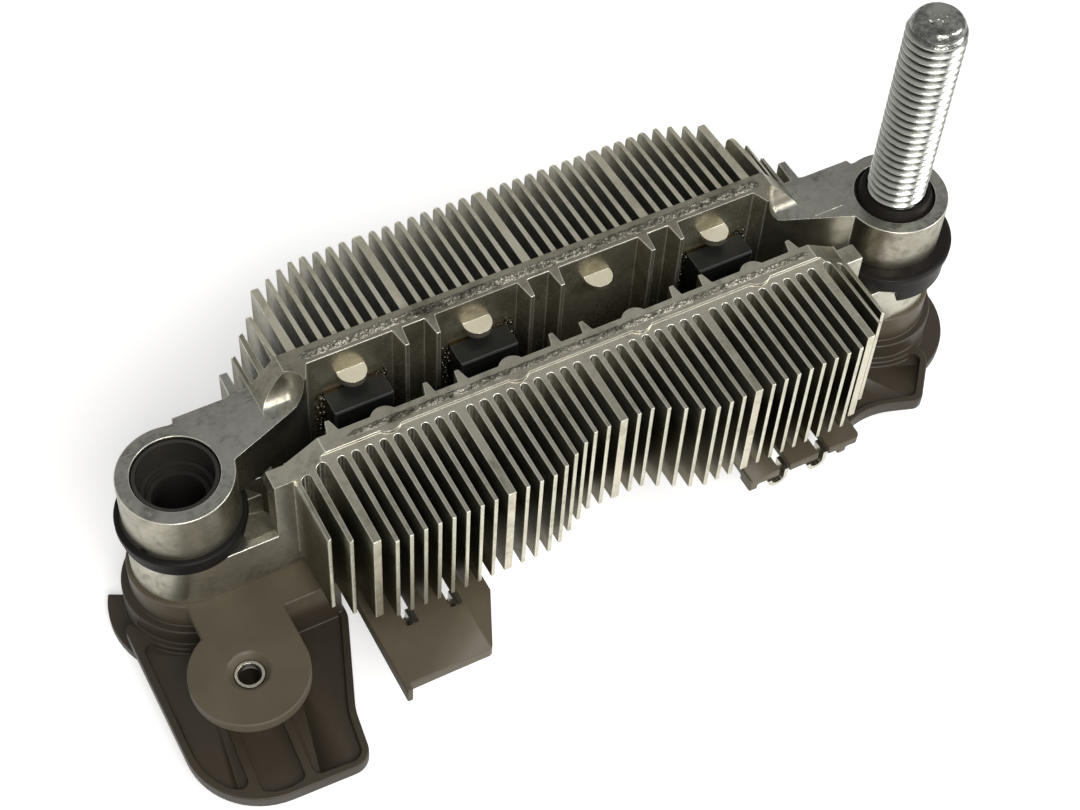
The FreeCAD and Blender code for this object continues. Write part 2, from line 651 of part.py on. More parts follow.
def rounded_prism(points, radii, z0, z1):
    corners = rounded_outline(points, radii)
    edges = []
    up = V(0, 0, z0)
    for i, (start, middle, end) in enumerate(corners):
        if middle is not None:
            edges.append(Part.Arc(start + up, middle + up, end + up).toShape())
        following = corners[(i + 1) % len(corners)][0]
        if (following - end).Length > 1e-6:
            edges.append(Part.LineSegment(end + up, following + up).toShape())
    return Part.Face(Part.Wire(edges)).extrude(V(0, 0, z1 - z0))


def inset(points, radii, by, z0, z1):
    """A rounded prism whose outline is drawn in by a distance on every side."""
    solid = rounded_prism(points, radii, z0, z1)
    face = [f for f in solid.Faces if abs(f.CenterOfMass.z - z0) < 1e-6][0]
    return face.makeOffset2D(-by).extrude(V(0, 0, z1 - z0))


# Wing outlines and ribs are measured from the boss that each wing surrounds
LEFT_WING = [(-10.4, -2.0), (-10.4, -32.6), (10.0, -33.4), (11.0, -26.0), (16.0, -13.0),
             (15.8, -8.0), (8.0, -4.0)]
LEFT_WING_R = [1.0, 11.5, 2.6, 9.0, 4.0, 1.0, 1.0]
RIGHT_WING = [(-16.0, -8.0), (-16.0, -17.2), (-9.0, -15.0), (-1.7, -17.5), (4.2, -10.5), (-2.0, -2.0)]
RIGHT_WING_R = [1.0, 1.0, 12.0, 1.6, 3.0, 1.0]


def wing(s, shape, radii, ribs):
    """An air baffle: a thin plate with rounded panels sunk between its rim and its ribs."""
    outline = [(s * BOSS_X + x, y) for x, y in shape]
    top = WING_Z + RIM_H
    plate = rounded_prism(outline, radii, WING_Z - WING_T, top)
    high = top + OVERCUT
    inner = inset(outline, radii, RIM_W, WING_Z, high)
    inner = inner.cut(cyl(COLLAR_LOW_R + PANEL_CLEAR, WING_Z, high, s * BOSS_X))
    for rib in ribs:
        x = s * BOSS_X + rib
        y0, y1 = -BOSS_R, outline[1][1] - RIM_W
        lean = LEFT_RIB_LEAN * (y1 - y0)
        half = 0.5 * RIM_W
        inner = inner.cut(prism([(x - half, y0), (x + half, y0), (x + half - lean * s, y1),
                                 (x - half - lean * s, y1)], WING_Z, high))
    for panel in inner.Solids:
        floor = [f for f in panel.Faces if abs(f.CenterOfMass.z - WING_Z) < 1e-6][0]
        for face in floor.makeOffset2D(-PANEL_CORNER_R).Faces:
            plate = plate.cut(face.makeOffset2D(PANEL_CORNER_R).extrude(V(0, 0, RIM_H + OVERCUT)))
    return plate


def collar(s, foot_r):
    """Stepped collar under one lower boss, down to the foot that the part stands on."""
    x = s * BOSS_X
    return turned([(0, 0), (foot_r, 0), (foot_r, FOOT_T), (COLLAR_LOW_R, FOOT_T),
                   (COLLAR_LOW_R, COLLAR_STEP_Z), (COLLAR_TOP_R, COLLAR_STEP_Z),
                   (COLLAR_TOP_R, BOARD_Z), (0, BOARD_Z)], x, 0)


def terminal_board():
    z0, z1 = BOARD_Z - BOARD_T, BOARD_Z
    pieces = [collar(-1, FOOT_LEFT_R), collar(1, FOOT_RIGHT_R)]
    pieces.append(box(-BOSS_X, BOSS_X, BOARD_REAR_Y, -BOSS_R, z0, z1))
    pieces.append(rounded_prism([(TONGUE_X + TONGUE_R, -BOSS_R), (TONGUE_X + TONGUE_R, BOARD_FRONT_Y),
                                 (COMB_X1, BOARD_FRONT_Y), (COMB_X1 + BOARD_RIGHT_RUN, -BOSS_R)],
                                [0, 0, BOARD_CORNER_R, BOARD_CORNER_R], z0, z1))
    pieces += tongue(z0, z1)
    pieces += tab(z0, z1)
    pieces += comb_edge(z0, z1)
    pieces.append(wing(-1, LEFT_WING, LEFT_WING_R, LEFT_RIB_X))
    pieces.append(wing(1, RIGHT_WING, RIGHT_WING_R, ()))
    for s in (-1, 1):
        inner_x, outer_x = [s * (BOSS_X - x) for x in BRIDGE_IN]
        pieces.append(box(inner_x, outer_x, BOARD_FRONT_Y, BOARD_FRONT_Y + BRIDGE_T,
                          WING_Z - WING_T, z1))
    board = joined(pieces)
    return board.cut(Part.makeCompound(board_openings(z0, z1)))


def tongue(z0, z1):
    """The screw tongue: a neck from the board and a round end with a raised edge."""
    rear_y = -BOSS_R + TONGUE_LAP
    neck = prism([(TONGUE_NECK_X, rear_y), (TONGUE_NECK_X, TONGUE_Y),
                  (TONGUE_X + TONGUE_R, TONGUE_Y), (TONGUE_X + TONGUE_R, rear_y)], z0, z1)
    return [neck, cyl(TONGUE_R, z1 - TONGUE_T, z1, TONGUE_X, TONGUE_Y)]


def tab(z0, z1):
    """The front tab with its hook slots, cut corner and side web."""
    y0 = BOARD_FRONT_Y + BOARD_LAP
    plate = rounded_prism([(TAB_X0, y0), (TAB_X0, TAB_Y), (TAB_X1 - TAB_CUT_X, TAB_Y),
                           (TAB_X1, TAB_Y + TAB_CUT_Y), (TAB_X1, y0)],
                          [0, TAB_CORNER_R, TAB_CORNER_R, TAB_CUT_R, 0], z0, z1)
    web = box(TAB_X0, TAB_X0 + TAB_WEB_T, y0, TAB_Y - TAB_WEB_OUT, z1 - TAB_WEB_H, z1)
    return [plate, web]


def comb_edge(z0, z1):
    """The right-hand front edge, left as three blocks between its hook slots."""
    y0 = BOARD_FRONT_Y + BOARD_LAP
    plate = rounded_prism([(COMB_X0, y0), (COMB_X0, COMB_Y), (COMB_X1, COMB_Y), (COMB_X1, y0)],
                          [0, *COMB_CORNER_R, 0], z1 - COMB_T, z1)
    nibs = [box(x, x + COMB_NIB_W, COMB_Y, COMB_Y + COMB_NIB_L, z1 - COMB_T - COMB_NIB, z1 - COMB_T)
            for x in COMB_NIB_X]
    return [plate] + nibs


def board_openings(z0, z1):
    """Bolt holes, the head pocket, hook slots and lead windows."""
    low, high = -OVERCUT, z1 + OVERCUT
    pocket_top = STUD_HEAD_SINK + STUD_HEAD_H
    cuts = [cyl(BUSH_BOLT_R + BOLT_HOLE_SLIP, low, high, -BOSS_X),
            cyl(BOSS_BORE_R, pocket_top, high, BOSS_X),
            prism(hexagon(STUD_HEAD_AF + 2 * SLIP), low, pocket_top),
            cyl(EYELET_R + SLIP, low, high, TONGUE_X, TONGUE_Y),
            cone(EYELET_R + SLIP, SINK_R, z1 - EYELET_DEPTH, z1, TONGUE_X, TONGUE_Y)]
    for x in TAB_SLOT_X:
        cuts.append(box(x - SLOT_W / 2, x + SLOT_W / 2, TAB_SLOT_Y0, TAB_SLOT_Y1, low, high))
    for x in COMB_SLOT_X:
        cuts.append(box(x - SLOT_W / 2, x + SLOT_W / 2, COMB_Y - OVERCUT, COMB_SLOT_Y1, z0 - SLIP, high))
    for x in DIODE_X:
        for face_y, out in ((REAR_WALL_FACE_Y, -1), (FRONT_WALL_FACE_Y, 1)):
            y = face_y + out * (DIODE_BASE_T + 0.5 * DIODE_BODY_T)
            cuts.append(box(x - LEAD_W / 2 - SEAT_GAP, x + LEAD_W / 2 + SEAT_GAP,
                            y - LEAD_T / 2 - SEAT_GAP, y + LEAD_T / 2 + SEAT_GAP, z0 - SLIP, high))
    cut_angle = math.radians(FOOT_CUT_ANGLE)
    reach = 2 * FOOT_LEFT_R
    wedge = prism([(-BOSS_X, 0), (-BOSS_X, reach), (-BOSS_X - reach, reach),
                   (-BOSS_X + reach * math.cos(cut_angle), reach * math.sin(cut_angle))],
                  low, FOOT_T)
    cuts.append(wedge.cut(cyl(COLLAR_LOW_R, low, FOOT_T + OVERCUT, -BOSS_X)))
    return cuts


def strip(points, top_z, width):
    """A flat stamped strip under the board along a plan path of straight legs."""
    pieces = []
    half = width / 2
    for (xa, ya), (xb, yb) in zip(points, points[1:]):
        pieces.append(box(min(xa, xb) - half, max(xa, xb) + half,
                          min(ya, yb) - half, max(ya, yb) + half, top_z - STRIP_T, top_z))
    return pieces


def hook(slot_x, y, top_z):
    """J-shaped wire hook that comes down through a slot and curls back under the board."""
    cx, cz = slot_x + 0.5 * SLOT_W - SEAT_GAP - HOOK_R, top_z - HOOK_SINK
    ring = Part.makeCylinder(HOOK_R, HOOK_W, V(cx, y, cz), V(0, 1, 0))
    ring = ring.cut(Part.makeCylinder(HOOK_R - STRIP_T, HOOK_W, V(cx, y, cz), V(0, 1, 0)))
    ring = ring.cut(box(cx - 2 * HOOK_R, cx + 2 * HOOK_R, y - OVERCUT, y + HOOK_W + OVERCUT,
                        cz, cz + 2 * HOOK_R))
    leg = box(cx + HOOK_R - STRIP_T, cx + HOOK_R, y, y + HOOK_W, cz, top_z + HOOK_RISE)
    return [ring, leg]


def phase_terminal(diode_x, slots, hook_y, run_y):
    """One stamped terminal: a pad round a pair of leads, the strip from it, and its wire hooks."""
    top_z = BOARD_Z - BOARD_T
    rear_y = REAR_WALL_FACE_Y - DIODE_BASE_T - 0.5 * DIODE_BODY_T
    front_y = FRONT_WALL_FACE_Y + DIODE_BASE_T + 0.5 * DIODE_BODY_T
    pieces = strip([(diode_x, rear_y), (diode_x, front_y)], top_z, LEAD_PAD_W)
    pieces += strip([(diode_x, front_y), (diode_x, run_y)], top_z, STRIP_W)
    for slot_x in slots:
        hook_x = slot_x + 0.5 * SLOT_W - SEAT_GAP - 2 * HOOK_R + STRIP_T
        foot_x = hook_x - STRIP_W / 2 + STRIP_LAP
        pieces += strip([(diode_x, run_y), (foot_x, run_y), (foot_x, hook_y + HOOK_W)], top_z, STRIP_W)
        pieces += hook(slot_x, hook_y, top_z)
    body = joined(pieces)
    holes = [box(diode_x - LEAD_W / 2, diode_x + LEAD_W / 2, y - LEAD_T / 2, y + LEAD_T / 2,
                 top_z - 2 * STRIP_T, top_z + STRIP_T) for y in (rear_y, front_y)]
    return body.cut(Part.makeCompound(holes))


def eyelet():
    """Rolled metal eyelet in the screw tongue."""
    top = BOARD_Z - EYELET_DEPTH
    low = BOARD_Z - TONGUE_T
    return turned([(EYELET_BORE_R, low - EYELET_LIP), (EYELET_BORE_R, top), (EYELET_R, top),
                   (EYELET_R, low), (EYELET_R + EYELET_FLANGE_W, low),
                   (EYELET_R + EYELET_FLANGE_W, low - EYELET_LIP)],
                  TONGUE_X, TONGUE_Y)


nodes = {
    "positive_heat_sink": positive_heat_sink(),
    "negative_heat_sink": negative_heat_sink(),
    "terminal_board": terminal_board(),
    "insulating_bush_left": bush(-1),
    "insulating_bush_right": bush(1),
    "output_stud": output_stud(),
    "tongue_eyelet": eyelet(),
    "phase_terminal_1": phase_terminal(DIODE_X[0], TAB_SLOT_X[:1], TAB_SLOT_Y0 + HOOK_INSET, NEAR_RUN_Y),
    "phase_terminal_2": phase_terminal(DIODE_X[1], TAB_SLOT_X[1:], TAB_SLOT_Y0 + HOOK_INSET, FAR_RUN_Y),
    "phase_terminal_3": phase_terminal(DIODE_X[2], COMB_SLOT_X, COMB_Y + COMB_HOOK_INSET, NEAR_RUN_Y),
}
for i, x in enumerate(DIODE_X):
    for side, face_y, out, drop in (("positive", REAR_WALL_FACE_Y, -1, POSITIVE_DIODE_TOP),
                                    ("negative", FRONT_WALL_FACE_Y, 1, NEGATIVE_DIODE_TOP)):
        base, body = diode(x, face_y, out, DECK_Z - drop)
        nodes["%s_diode_base_%d" % (side, i + 1)] = base
        nodes["%s_diode_%d" % (side, i + 1)] = body
        nodes["%s_diode_lead_%d" % (side, i + 1)] = lead(x, face_y, out, DECK_Z - drop)

whole = Part.makeCompound(list(nodes.values())).optimalBoundingBox()
to_origin = V(-whole.Center.x, -whole.Center.y, -whole.ZMin)

for name, shape in nodes.items():
    solids = shape.Solids
    shape = (solids[0] if len(solids) == 1 else shape).translated(to_origin)
    shape.exportStep("parts/%s.step" % name)
    print("%-24s %d solid(s), valid %s, %.1f mm3" % (name, len(solids), shape.isValid(), shape.Volume))
print("moved by", to_origin)
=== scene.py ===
"""Looks of an alternator rectifier: finned heat sinks, box diodes, bushes, stud and board."""

import json
import logging
import math
from dataclasses import dataclass, field
from enum import Enum
from typing import Callable, Iterable, Optional, Sequence

import bmesh
import bpy
from mathutils import Matrix, Vector


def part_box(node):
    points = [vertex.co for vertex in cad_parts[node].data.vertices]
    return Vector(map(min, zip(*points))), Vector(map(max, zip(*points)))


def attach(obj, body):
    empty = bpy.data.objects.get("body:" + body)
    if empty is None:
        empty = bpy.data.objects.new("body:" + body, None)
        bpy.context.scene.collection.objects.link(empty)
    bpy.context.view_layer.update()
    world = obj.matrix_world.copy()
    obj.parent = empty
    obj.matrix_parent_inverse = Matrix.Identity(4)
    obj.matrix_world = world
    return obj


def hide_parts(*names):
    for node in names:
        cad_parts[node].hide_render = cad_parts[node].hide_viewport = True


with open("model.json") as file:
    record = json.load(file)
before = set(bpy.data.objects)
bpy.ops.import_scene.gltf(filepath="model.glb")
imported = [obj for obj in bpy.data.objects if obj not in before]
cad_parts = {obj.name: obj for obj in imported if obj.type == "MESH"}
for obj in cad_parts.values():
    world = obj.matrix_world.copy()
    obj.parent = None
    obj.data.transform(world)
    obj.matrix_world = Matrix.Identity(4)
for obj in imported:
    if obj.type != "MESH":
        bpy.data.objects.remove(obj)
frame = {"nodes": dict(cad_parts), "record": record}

MM = 0.001
BODY = "root"
WHITE = (1.0, 1.0, 1.0)
Colour = tuple[float, float, float]
Place = tuple[float, float, float]
Span = tuple[float, float]
Socket = bpy.types.NodeSocket
Node = bpy.types.Node
NodeTree = bpy.types.NodeTree
Material = bpy.types.Material
Mesh = bpy.types.Mesh
Piece = bpy.types.Object
WorkMesh = bmesh.types.BMesh
Fill = Callable[["Shader", Node], dict[str, Socket]]
log = logging.getLogger("rectifier")


# Small helpers


def linear(red: float, green: float, blue: float) -> Colour:
    """Turn an sRGB colour from 0 to 255 into Blender's linear one.

    Args:
        red: Red, 0 to 255.
        green: Green, 0 to 255.
        blue: Blue, 0 to 255.

    Returns:
        The linear colour.
    """
    def one(value: float) -> float:
        """One channel, made linear."""
        part = value / 255.0
        return part / 12.92 if part <= 0.04045 else ((part + 0.055) / 1.055) ** 2.4

    return one(red), one(green), one(blue)


def rgba(colour: Colour) -> tuple[float, float, float, float]:
    """The colour with full opacity."""
    return colour[0], colour[1], colour[2], 1.0


def mount(name: str) -> Vector:
    """Find a mount's place in the row frame.

    Args:
        name: The mount's name in the record.

    Returns:
        Its position in metres.
    """
    for entry in frame["record"]["mounts"]:
        if entry["name"] == name:
            return Vector(entry["pos_m"])
    raise KeyError(name)


def origin() -> Vector:
    """The point midway between the two boss axes, at the height of the feet."""
    middle = 0.5 * (mount("mounting_bore") + mount("output_stud_thread"))
    return Vector((middle.x, middle.y, 0.0))


# Node trees

COLOUR_MIX_INPUTS = (0, 6, 7)  # factor and both colours among a Mix node's inputs
COLOUR_MIX_OUTPUT = 2


@dataclass(frozen=True)
class Noise:
    """A noise texture: cells per metre, octaves, how strong the finer ones are, and distortion."""

    scale: float
    detail: float = 4.0
    rough: float = 0.55
    twist: float = 0.0


class TreeFiller:
    """Fills a node tree with short calls."""

    def __init__(self, tree: NodeTree) -> None:
        """Keep the tree that is filled."""
        self.tree = tree

    def feed(self, target: Socket, value: object) -> None:
        """Link a socket to an input, or set the input.

        Args:
            target: The input.
            value: A socket or a constant.
        """
        if isinstance(value, Socket):
            self.tree.links.new(value, target)
        else:
            target.default_value = value

    def put(self, made: Node, name: str, value: object) -> None:
        """Link or set the input of that name which is in use."""
        self.feed(next(s for s in made.inputs if s.name == name and s.enabled), value)

    def node(self, kind: str, **values: object) -> Node:
        """Add a node, set its properties, and link or set its inputs.

        Args:
            kind: The node's type name.
            **values: Properties, or inputs by name with underscores for spaces.

        Returns:
            The new node.
        """
        made = self.tree.nodes.new(kind)
        inputs: dict[str, object] = {}
        for name, value in values.items():
            if hasattr(made, name) and not isinstance(value, Socket):
                setattr(made, name, value)
            else:
                inputs[name.replace("_", " ")] = value
        for name, value in inputs.items():
            self.put(made, name, value)
        return made

    def math(self, operation: str, *values: object, clamp: bool = False) -> Socket:
        """Add a Math node.

        Args:
            operation: The operation's name.
            *values: Its inputs in order, each a socket or a number.
            clamp: Whether the result stays from 0 to 1.

        Returns:
            The result's socket.
        """
        made = self.node("ShaderNodeMath", operation=operation, use_clamp=clamp)
        for target, value in zip(made.inputs, values):
            self.feed(target, value)
        return made.outputs[0]

    def ramp(self, value: Socket, span: Span, result: Span = (0.0, 1.0),
             kind: str = "SMOOTHSTEP") -> Socket:
        """Map a value from one range to another and keep it there.

        Args:
            value: What is mapped.
            span: Its range.
            result: The range it is mapped to.
            kind: How it runs between the ends.

        Returns:
            The mapped value's socket.
        """
        made = self.node("ShaderNodeMapRange", interpolation_type=kind, Value=value)
        for label, number in zip(("From Min", "From Max", "To Min", "To Max"), (*span, *result)):
            made.inputs[label].default_value = number
        return made.outputs["Result"]

    def noise(self, where: Socket, kind: Noise) -> Socket:
        """Add a noise texture that reads some coordinates."""
        return self.node("ShaderNodeTexNoise", Scale=kind.scale, Detail=kind.detail,
                         Roughness=kind.rough, Distortion=kind.twist, Vector=where).outputs[0]

    def split(self, where: Socket) -> bpy.types.NodeOutputs:
        """The outputs X, Y and Z of a vector taken apart."""
        return self.node("ShaderNodeSeparateXYZ", Vector=where).outputs


class Shader(TreeFiller):
    """Fills a shader tree."""

    def __init__(self, tree: NodeTree) -> None:
        """Empty the tree and keep it."""
        super().__init__(tree)
        tree.nodes.clear()

    def mix(self, share: Socket, first: object, second: object) -> Socket:
        """Mix two colours.

        Args:
            share: Share of the second colour.
            first: First colour, or its socket.
            second: Second colour, or its socket.

        Returns:
            The mixed colour's socket.
        """
        made = self.node("ShaderNodeMix", data_type="RGBA")
        factor, one, other = (made.inputs[index] for index in COLOUR_MIX_INPUTS)
        self.feed(factor, share)
        for target, value in ((one, first), (other, second)):
            self.feed(target, rgba(value) if isinstance(value, tuple) else value)
        return made.outputs[COLOUR_MIX_OUTPUT]


class SurfaceTree(Shader):
    """A material's tree round one Principled shader."""

    def __init__(self, name: str) -> None:
        """Make the material.

        Args:
            name: The material's name.
        """
        self.material = bpy.data.materials.new(name)
        self.material.use_nodes = True
        super().__init__(self.material.node_tree)
        self.where = self.node("ShaderNodeTexCoord").outputs["Object"]
        self.principled = self.node("ShaderNodeBsdfPrincipled")
        self.node("ShaderNodeOutputMaterial", Surface=self.principled.outputs[0])

    def give(self, name: str, value: object) -> None:
        """Link or set an input of the Principled shader."""
        self.put(self.principled, name, value)

    def effect(self, tree: NodeTree, amount: Optional[float] = None) -> Node:
        """Place an effect's group at the surface's object coordinates.

        Args:
            tree: The group.
            amount: Its Amount, where it has one.

        Returns:
            The group node.
        """
        made = self.node("ShaderNodeGroup", node_tree=tree)
        self.feed(made.inputs["Vector"], self.where)
        if amount is not None:
            made.inputs["Amount"].default_value = amount
        return made

    def bump(self, height: Socket, depth: float, strength: float) -> None:
        """Feed a height to the surface's normal.

        Args:
            height: The height's socket.
            depth: Metres for a height of 1.
            strength: How much of the bump is used.
        """
        made = self.node("ShaderNodeBump", Strength=strength, Distance=depth, Height=height)
        self.give("Normal", made.outputs[0])


# Shared effects

FLOW = Noise(90.0, detail=5.0, rough=0.6, twist=0.8)
SAND = Noise(1400.0, detail=3.0, rough=0.6)
PEEL = Noise(4200.0, detail=2.0, rough=0.5)
SAND_HEIGHT = 0.6
SAND_TONE = 0.3
SKIN_SPAN = (0.3, 0.7)
SCRATCH = Noise(1.0, detail=2.0, rough=0.5, twist=0.2)
SCRATCH_CELLS = (260.0, 4200.0, 900.0)  # per metre, along each axis
SCRATCH_SETS = ((0.35, 0.66), (-0.8, 0.69), (1.9, 0.7))  # turn about Z, crest that is kept
SCRATCH_EDGE = 0.05
PITS = Noise(3600.0, detail=3.0, rough=0.6)
SLOW_TONE = Noise(70.0, rough=0.6, twist=0.4)
SLOW_SPAN = (0.32, 0.68)
STAIN = Noise(130.0, detail=6.0, rough=0.65, twist=1.2)
FLECK = Noise(900.0, rough=0.6)
FLECK_SHARE = 0.35
STAIN_SPAN = (0.47, 0.66)


def new_effect(name: str, fill: Fill, outputs: Sequence[str], scaled: bool = False) -> NodeTree:
    """Make a shader node group that reads a place and puts out numbers.

    Args:
        name: The group's name.
        fill: Builds the inside and returns each output's socket.
        outputs: The outputs' names.
        scaled: Whether the group has an Amount.

    Returns:
        The group's node tree.
    """
    tree = bpy.data.node_groups.new(name, "ShaderNodeTree")
    rim = tree.interface
    rim.new_socket("Vector", in_out="INPUT", socket_type="NodeSocketVector")
    if scaled:
        amount = rim.new_socket("Amount", in_out="INPUT", socket_type="NodeSocketFloat")
        amount.default_value = 1.0
    for label in outputs:
        rim.new_socket(label, in_out="OUTPUT", socket_type="NodeSocketFloat")
    shader = Shader(tree)
    entry = shader.node("NodeGroupInput")
    leave = shader.node("NodeGroupOutput")
    for label, socket in fill(shader, entry).items():
        shader.feed(leave.inputs[label], socket)
    return tree


def fill_cast_skin(shader: Shader, entry: Node) -> dict[str, Socket]:
    """Layer three noises into the orange peel and flow marks of a die-cast skin.

    Args:
        shader: The group's tree.
        entry: The group's input node.

    Returns:
        A height, and a tone from 0 to 1.
    """
    where = entry.outputs["Vector"]
    fine = shader.noise(where, SAND)
    tone = shader.math("MULTIPLY_ADD", shader.noise(where, FLOW), 1.0 - SAND_TONE,
                       shader.math("MULTIPLY", fine, SAND_TONE))
    return {"Height": shader.math("MULTIPLY_ADD", fine, SAND_HEIGHT, shader.noise(where, PEEL)),
            "Tone": shader.ramp(tone, SKIN_SPAN)}


def fill_rub(shader: Shader, entry: Node) -> dict[str, Socket]:
    """Stretch and turn noises into fine scratches and keep their crests.

    Args:
        shader: The group's tree.
        entry: The group's input node.

    Returns:
        A mask of the scratches.
    """
    masks: list[Socket] = []
    for turn, crest in SCRATCH_SETS:
        turned = shader.node("ShaderNodeMapping", Rotation=(0.0, 0.0, turn), Scale=SCRATCH_CELLS,
                             Vector=entry.outputs["Vector"])
        lines = shader.noise(turned.outputs[0], SCRATCH)
        masks.append(shader.ramp(lines, (crest, crest + SCRATCH_EDGE)))
    total = shader.math("MAXIMUM", shader.math("MAXIMUM", masks[0], masks[1]), masks[2])
    return {"Mask": shader.math("MULTIPLY", total, entry.outputs["Amount"])}


def fill_grain(shader: Shader, entry: Node) -> dict[str, Socket]:
    """Make the fine pits and the slow change of tone of a moulded plastic.

    Args:
        shader: The group's tree.
        entry: The group's input node.

    Returns:
        A height, and a tone from 0 to 1.
    """
    where = entry.outputs["Vector"]
    return {"Height": shader.noise(where, PITS),
            "Tone": shader.ramp(shader.noise(where, SLOW_TONE), SLOW_SPAN)}


def fill_soot(shader: Shader, entry: Node) -> dict[str, Socket]:
    """Add a finer noise to a broad one and keep its top, as dull stains.

    Args:
        shader: The group's tree.
        entry: The group's input node.

    Returns:
        A mask that is strongest in the dullest places.
    """
    where = entry.outputs["Vector"]
    broad = shader.math("MULTIPLY", shader.noise(where, STAIN), 1.0 - FLECK_SHARE)
    total = shader.math("MULTIPLY_ADD", shader.noise(where, FLECK), FLECK_SHARE, broad)
    stains = shader.ramp(total, STAIN_SPAN)
    return {"Mask": shader.math("MULTIPLY", stains, entry.outputs["Amount"])}


@dataclass(frozen=True)
class EffectGroups:
    """Shader effects that more than one finish uses."""

    cast_skin: NodeTree
    rub: NodeTree
    grain: NodeTree
    soot: NodeTree

    @classmethod
    def build(cls) -> "EffectGroups":
        """Build each effect's node group once.

        Returns:
            The groups.
        """
        return cls(cast_skin=new_effect("cast_skin", fill_cast_skin, ("Height", "Tone")),
                   rub=new_effect("rub", fill_rub, ("Mask",), scaled=True),
                   grain=new_effect("grain", fill_grain, ("Height", "Tone")),
                   soot=new_effect("soot", fill_soot, ("Mask",), scaled=True))


# Finishes


@dataclass(frozen=True)
class DeepShade:
    """Painted shade that thickens towards the foot of the fins, on one side of a wall."""

    colour: Colour
    foot: float
    top: float
    wall: float
    beyond: float

    def mask(self, surface: SurfaceTree) -> Socket:
        """Work out how much painted shade a spot carries.

        Args:
            surface: The material's tree.

        Returns:
            The painted shade's share.
        """
        spot = surface.split(surface.where)
        low = surface.ramp(spot["Z"], (self.foot, self.top), (1.0, 0.0))
        past = surface.ramp(spot["Y"], (self.wall, self.beyond))
        return surface.math("MULTIPLY", low, past)


@dataclass(frozen=True)
class CastAluminium:
    """Die-cast aluminium: satin, warm grey, with stains and rubbed lines, and painted shade at the
    fins' feet where given.
    """

    name: str
    dark: Colour
    light: Colour
    stain: Colour
    smooth: float
    coarse: float
    soot: float = 0.6
    rub: float = 0.4
    stain_rough: float = 0.12
    rub_rough: float = -0.1
    peel_depth: float = 0.00002
    peel_strength: float = 0.55
    metal: float = 1.0
    # Painted shade towards the fins' feet, if any.
    painted_shade: Optional[DeepShade] = None

    def build(self, groups: EffectGroups) -> Material:
        """Make the material.

        Args:
            groups: The shared effects.

        Returns:
            The material.
        """
        surface = SurfaceTree(self.name)
        skin = surface.effect(groups.cast_skin).outputs
        stains = surface.effect(groups.soot, self.soot).outputs["Mask"]
        rubs = surface.effect(groups.rub, self.rub).outputs["Mask"]
        colour = surface.mix(skin["Tone"], self.dark, self.light)
        colour = surface.mix(stains, colour, self.stain)
        colour = surface.mix(rubs, colour, self.light)
        # Paint shade towards the foot of the fins.
        if self.painted_shade is not None:
            colour = surface.mix(self.painted_shade.mask(surface), colour, self.painted_shade.colour)
        rough = surface.ramp(skin["Tone"], (0.0, 1.0), (self.coarse, self.smooth))
        rough = surface.math("MULTIPLY_ADD", stains, self.stain_rough, rough)
        rough = surface.math("MULTIPLY_ADD", rubs, self.rub_rough, rough, clamp=True)
        surface.give("Base Color", colour)
        surface.give("Roughness", rough)
        surface.give("Metallic", self.metal)
        surface.bump(skin["Height"], self.peel_depth, self.peel_strength)
        return surface.material


@dataclass(frozen=True)
class MouldedPlastic:
    """Glass-filled or plain moulded plastic with a fine grain, and painted shade on its lower
    faces where given.
    """

    name: str
    dark: Colour
    light: Colour
    rough: float
    rub: float = 0.3
    sheen_drop: float = 0.12
    grain_depth: float = 0.000012
    grain_strength: float = 0.5
    coat: float = 0.0
    gloss: float = 0.5
    # A painted shade colour for the lower faces, and the heights over which it fades out.
    painted_shade: Optional[Colour] = None
    painted_shade_below: Span = (0.0068, 0.0098)

    def build(self, groups: EffectGroups) -> Material:
        """Make the material.

        Args:
            groups: The shared effects.

        Returns:
            The material.
        """
        surface = SurfaceTree(self.name)
        grain = surface.effect(groups.grain).outputs
        rubs = surface.effect(groups.rub, self.rub).outputs["Mask"]
        colour = surface.mix(grain["Tone"], self.dark, self.light)
        colour = surface.mix(rubs, colour, self.light)
        # Paint shade onto the lower faces.
        if self.painted_shade is not None:
            height = surface.split(surface.where)["Z"]
            colour = surface.mix(surface.ramp(height, self.painted_shade_below), self.painted_shade, colour)
        rough = surface.ramp(grain["Tone"], (0.0, 1.0), (self.rough + self.sheen_drop, self.rough))
        surface.give("Base Color", colour)
        surface.give("Roughness", rough)
        surface.give("Coat Weight", self.coat)
        surface.give("Specular IOR Level", self.gloss)
        surface.bump(grain["Height"], self.grain_depth, self.grain_strength)
        return surface.material


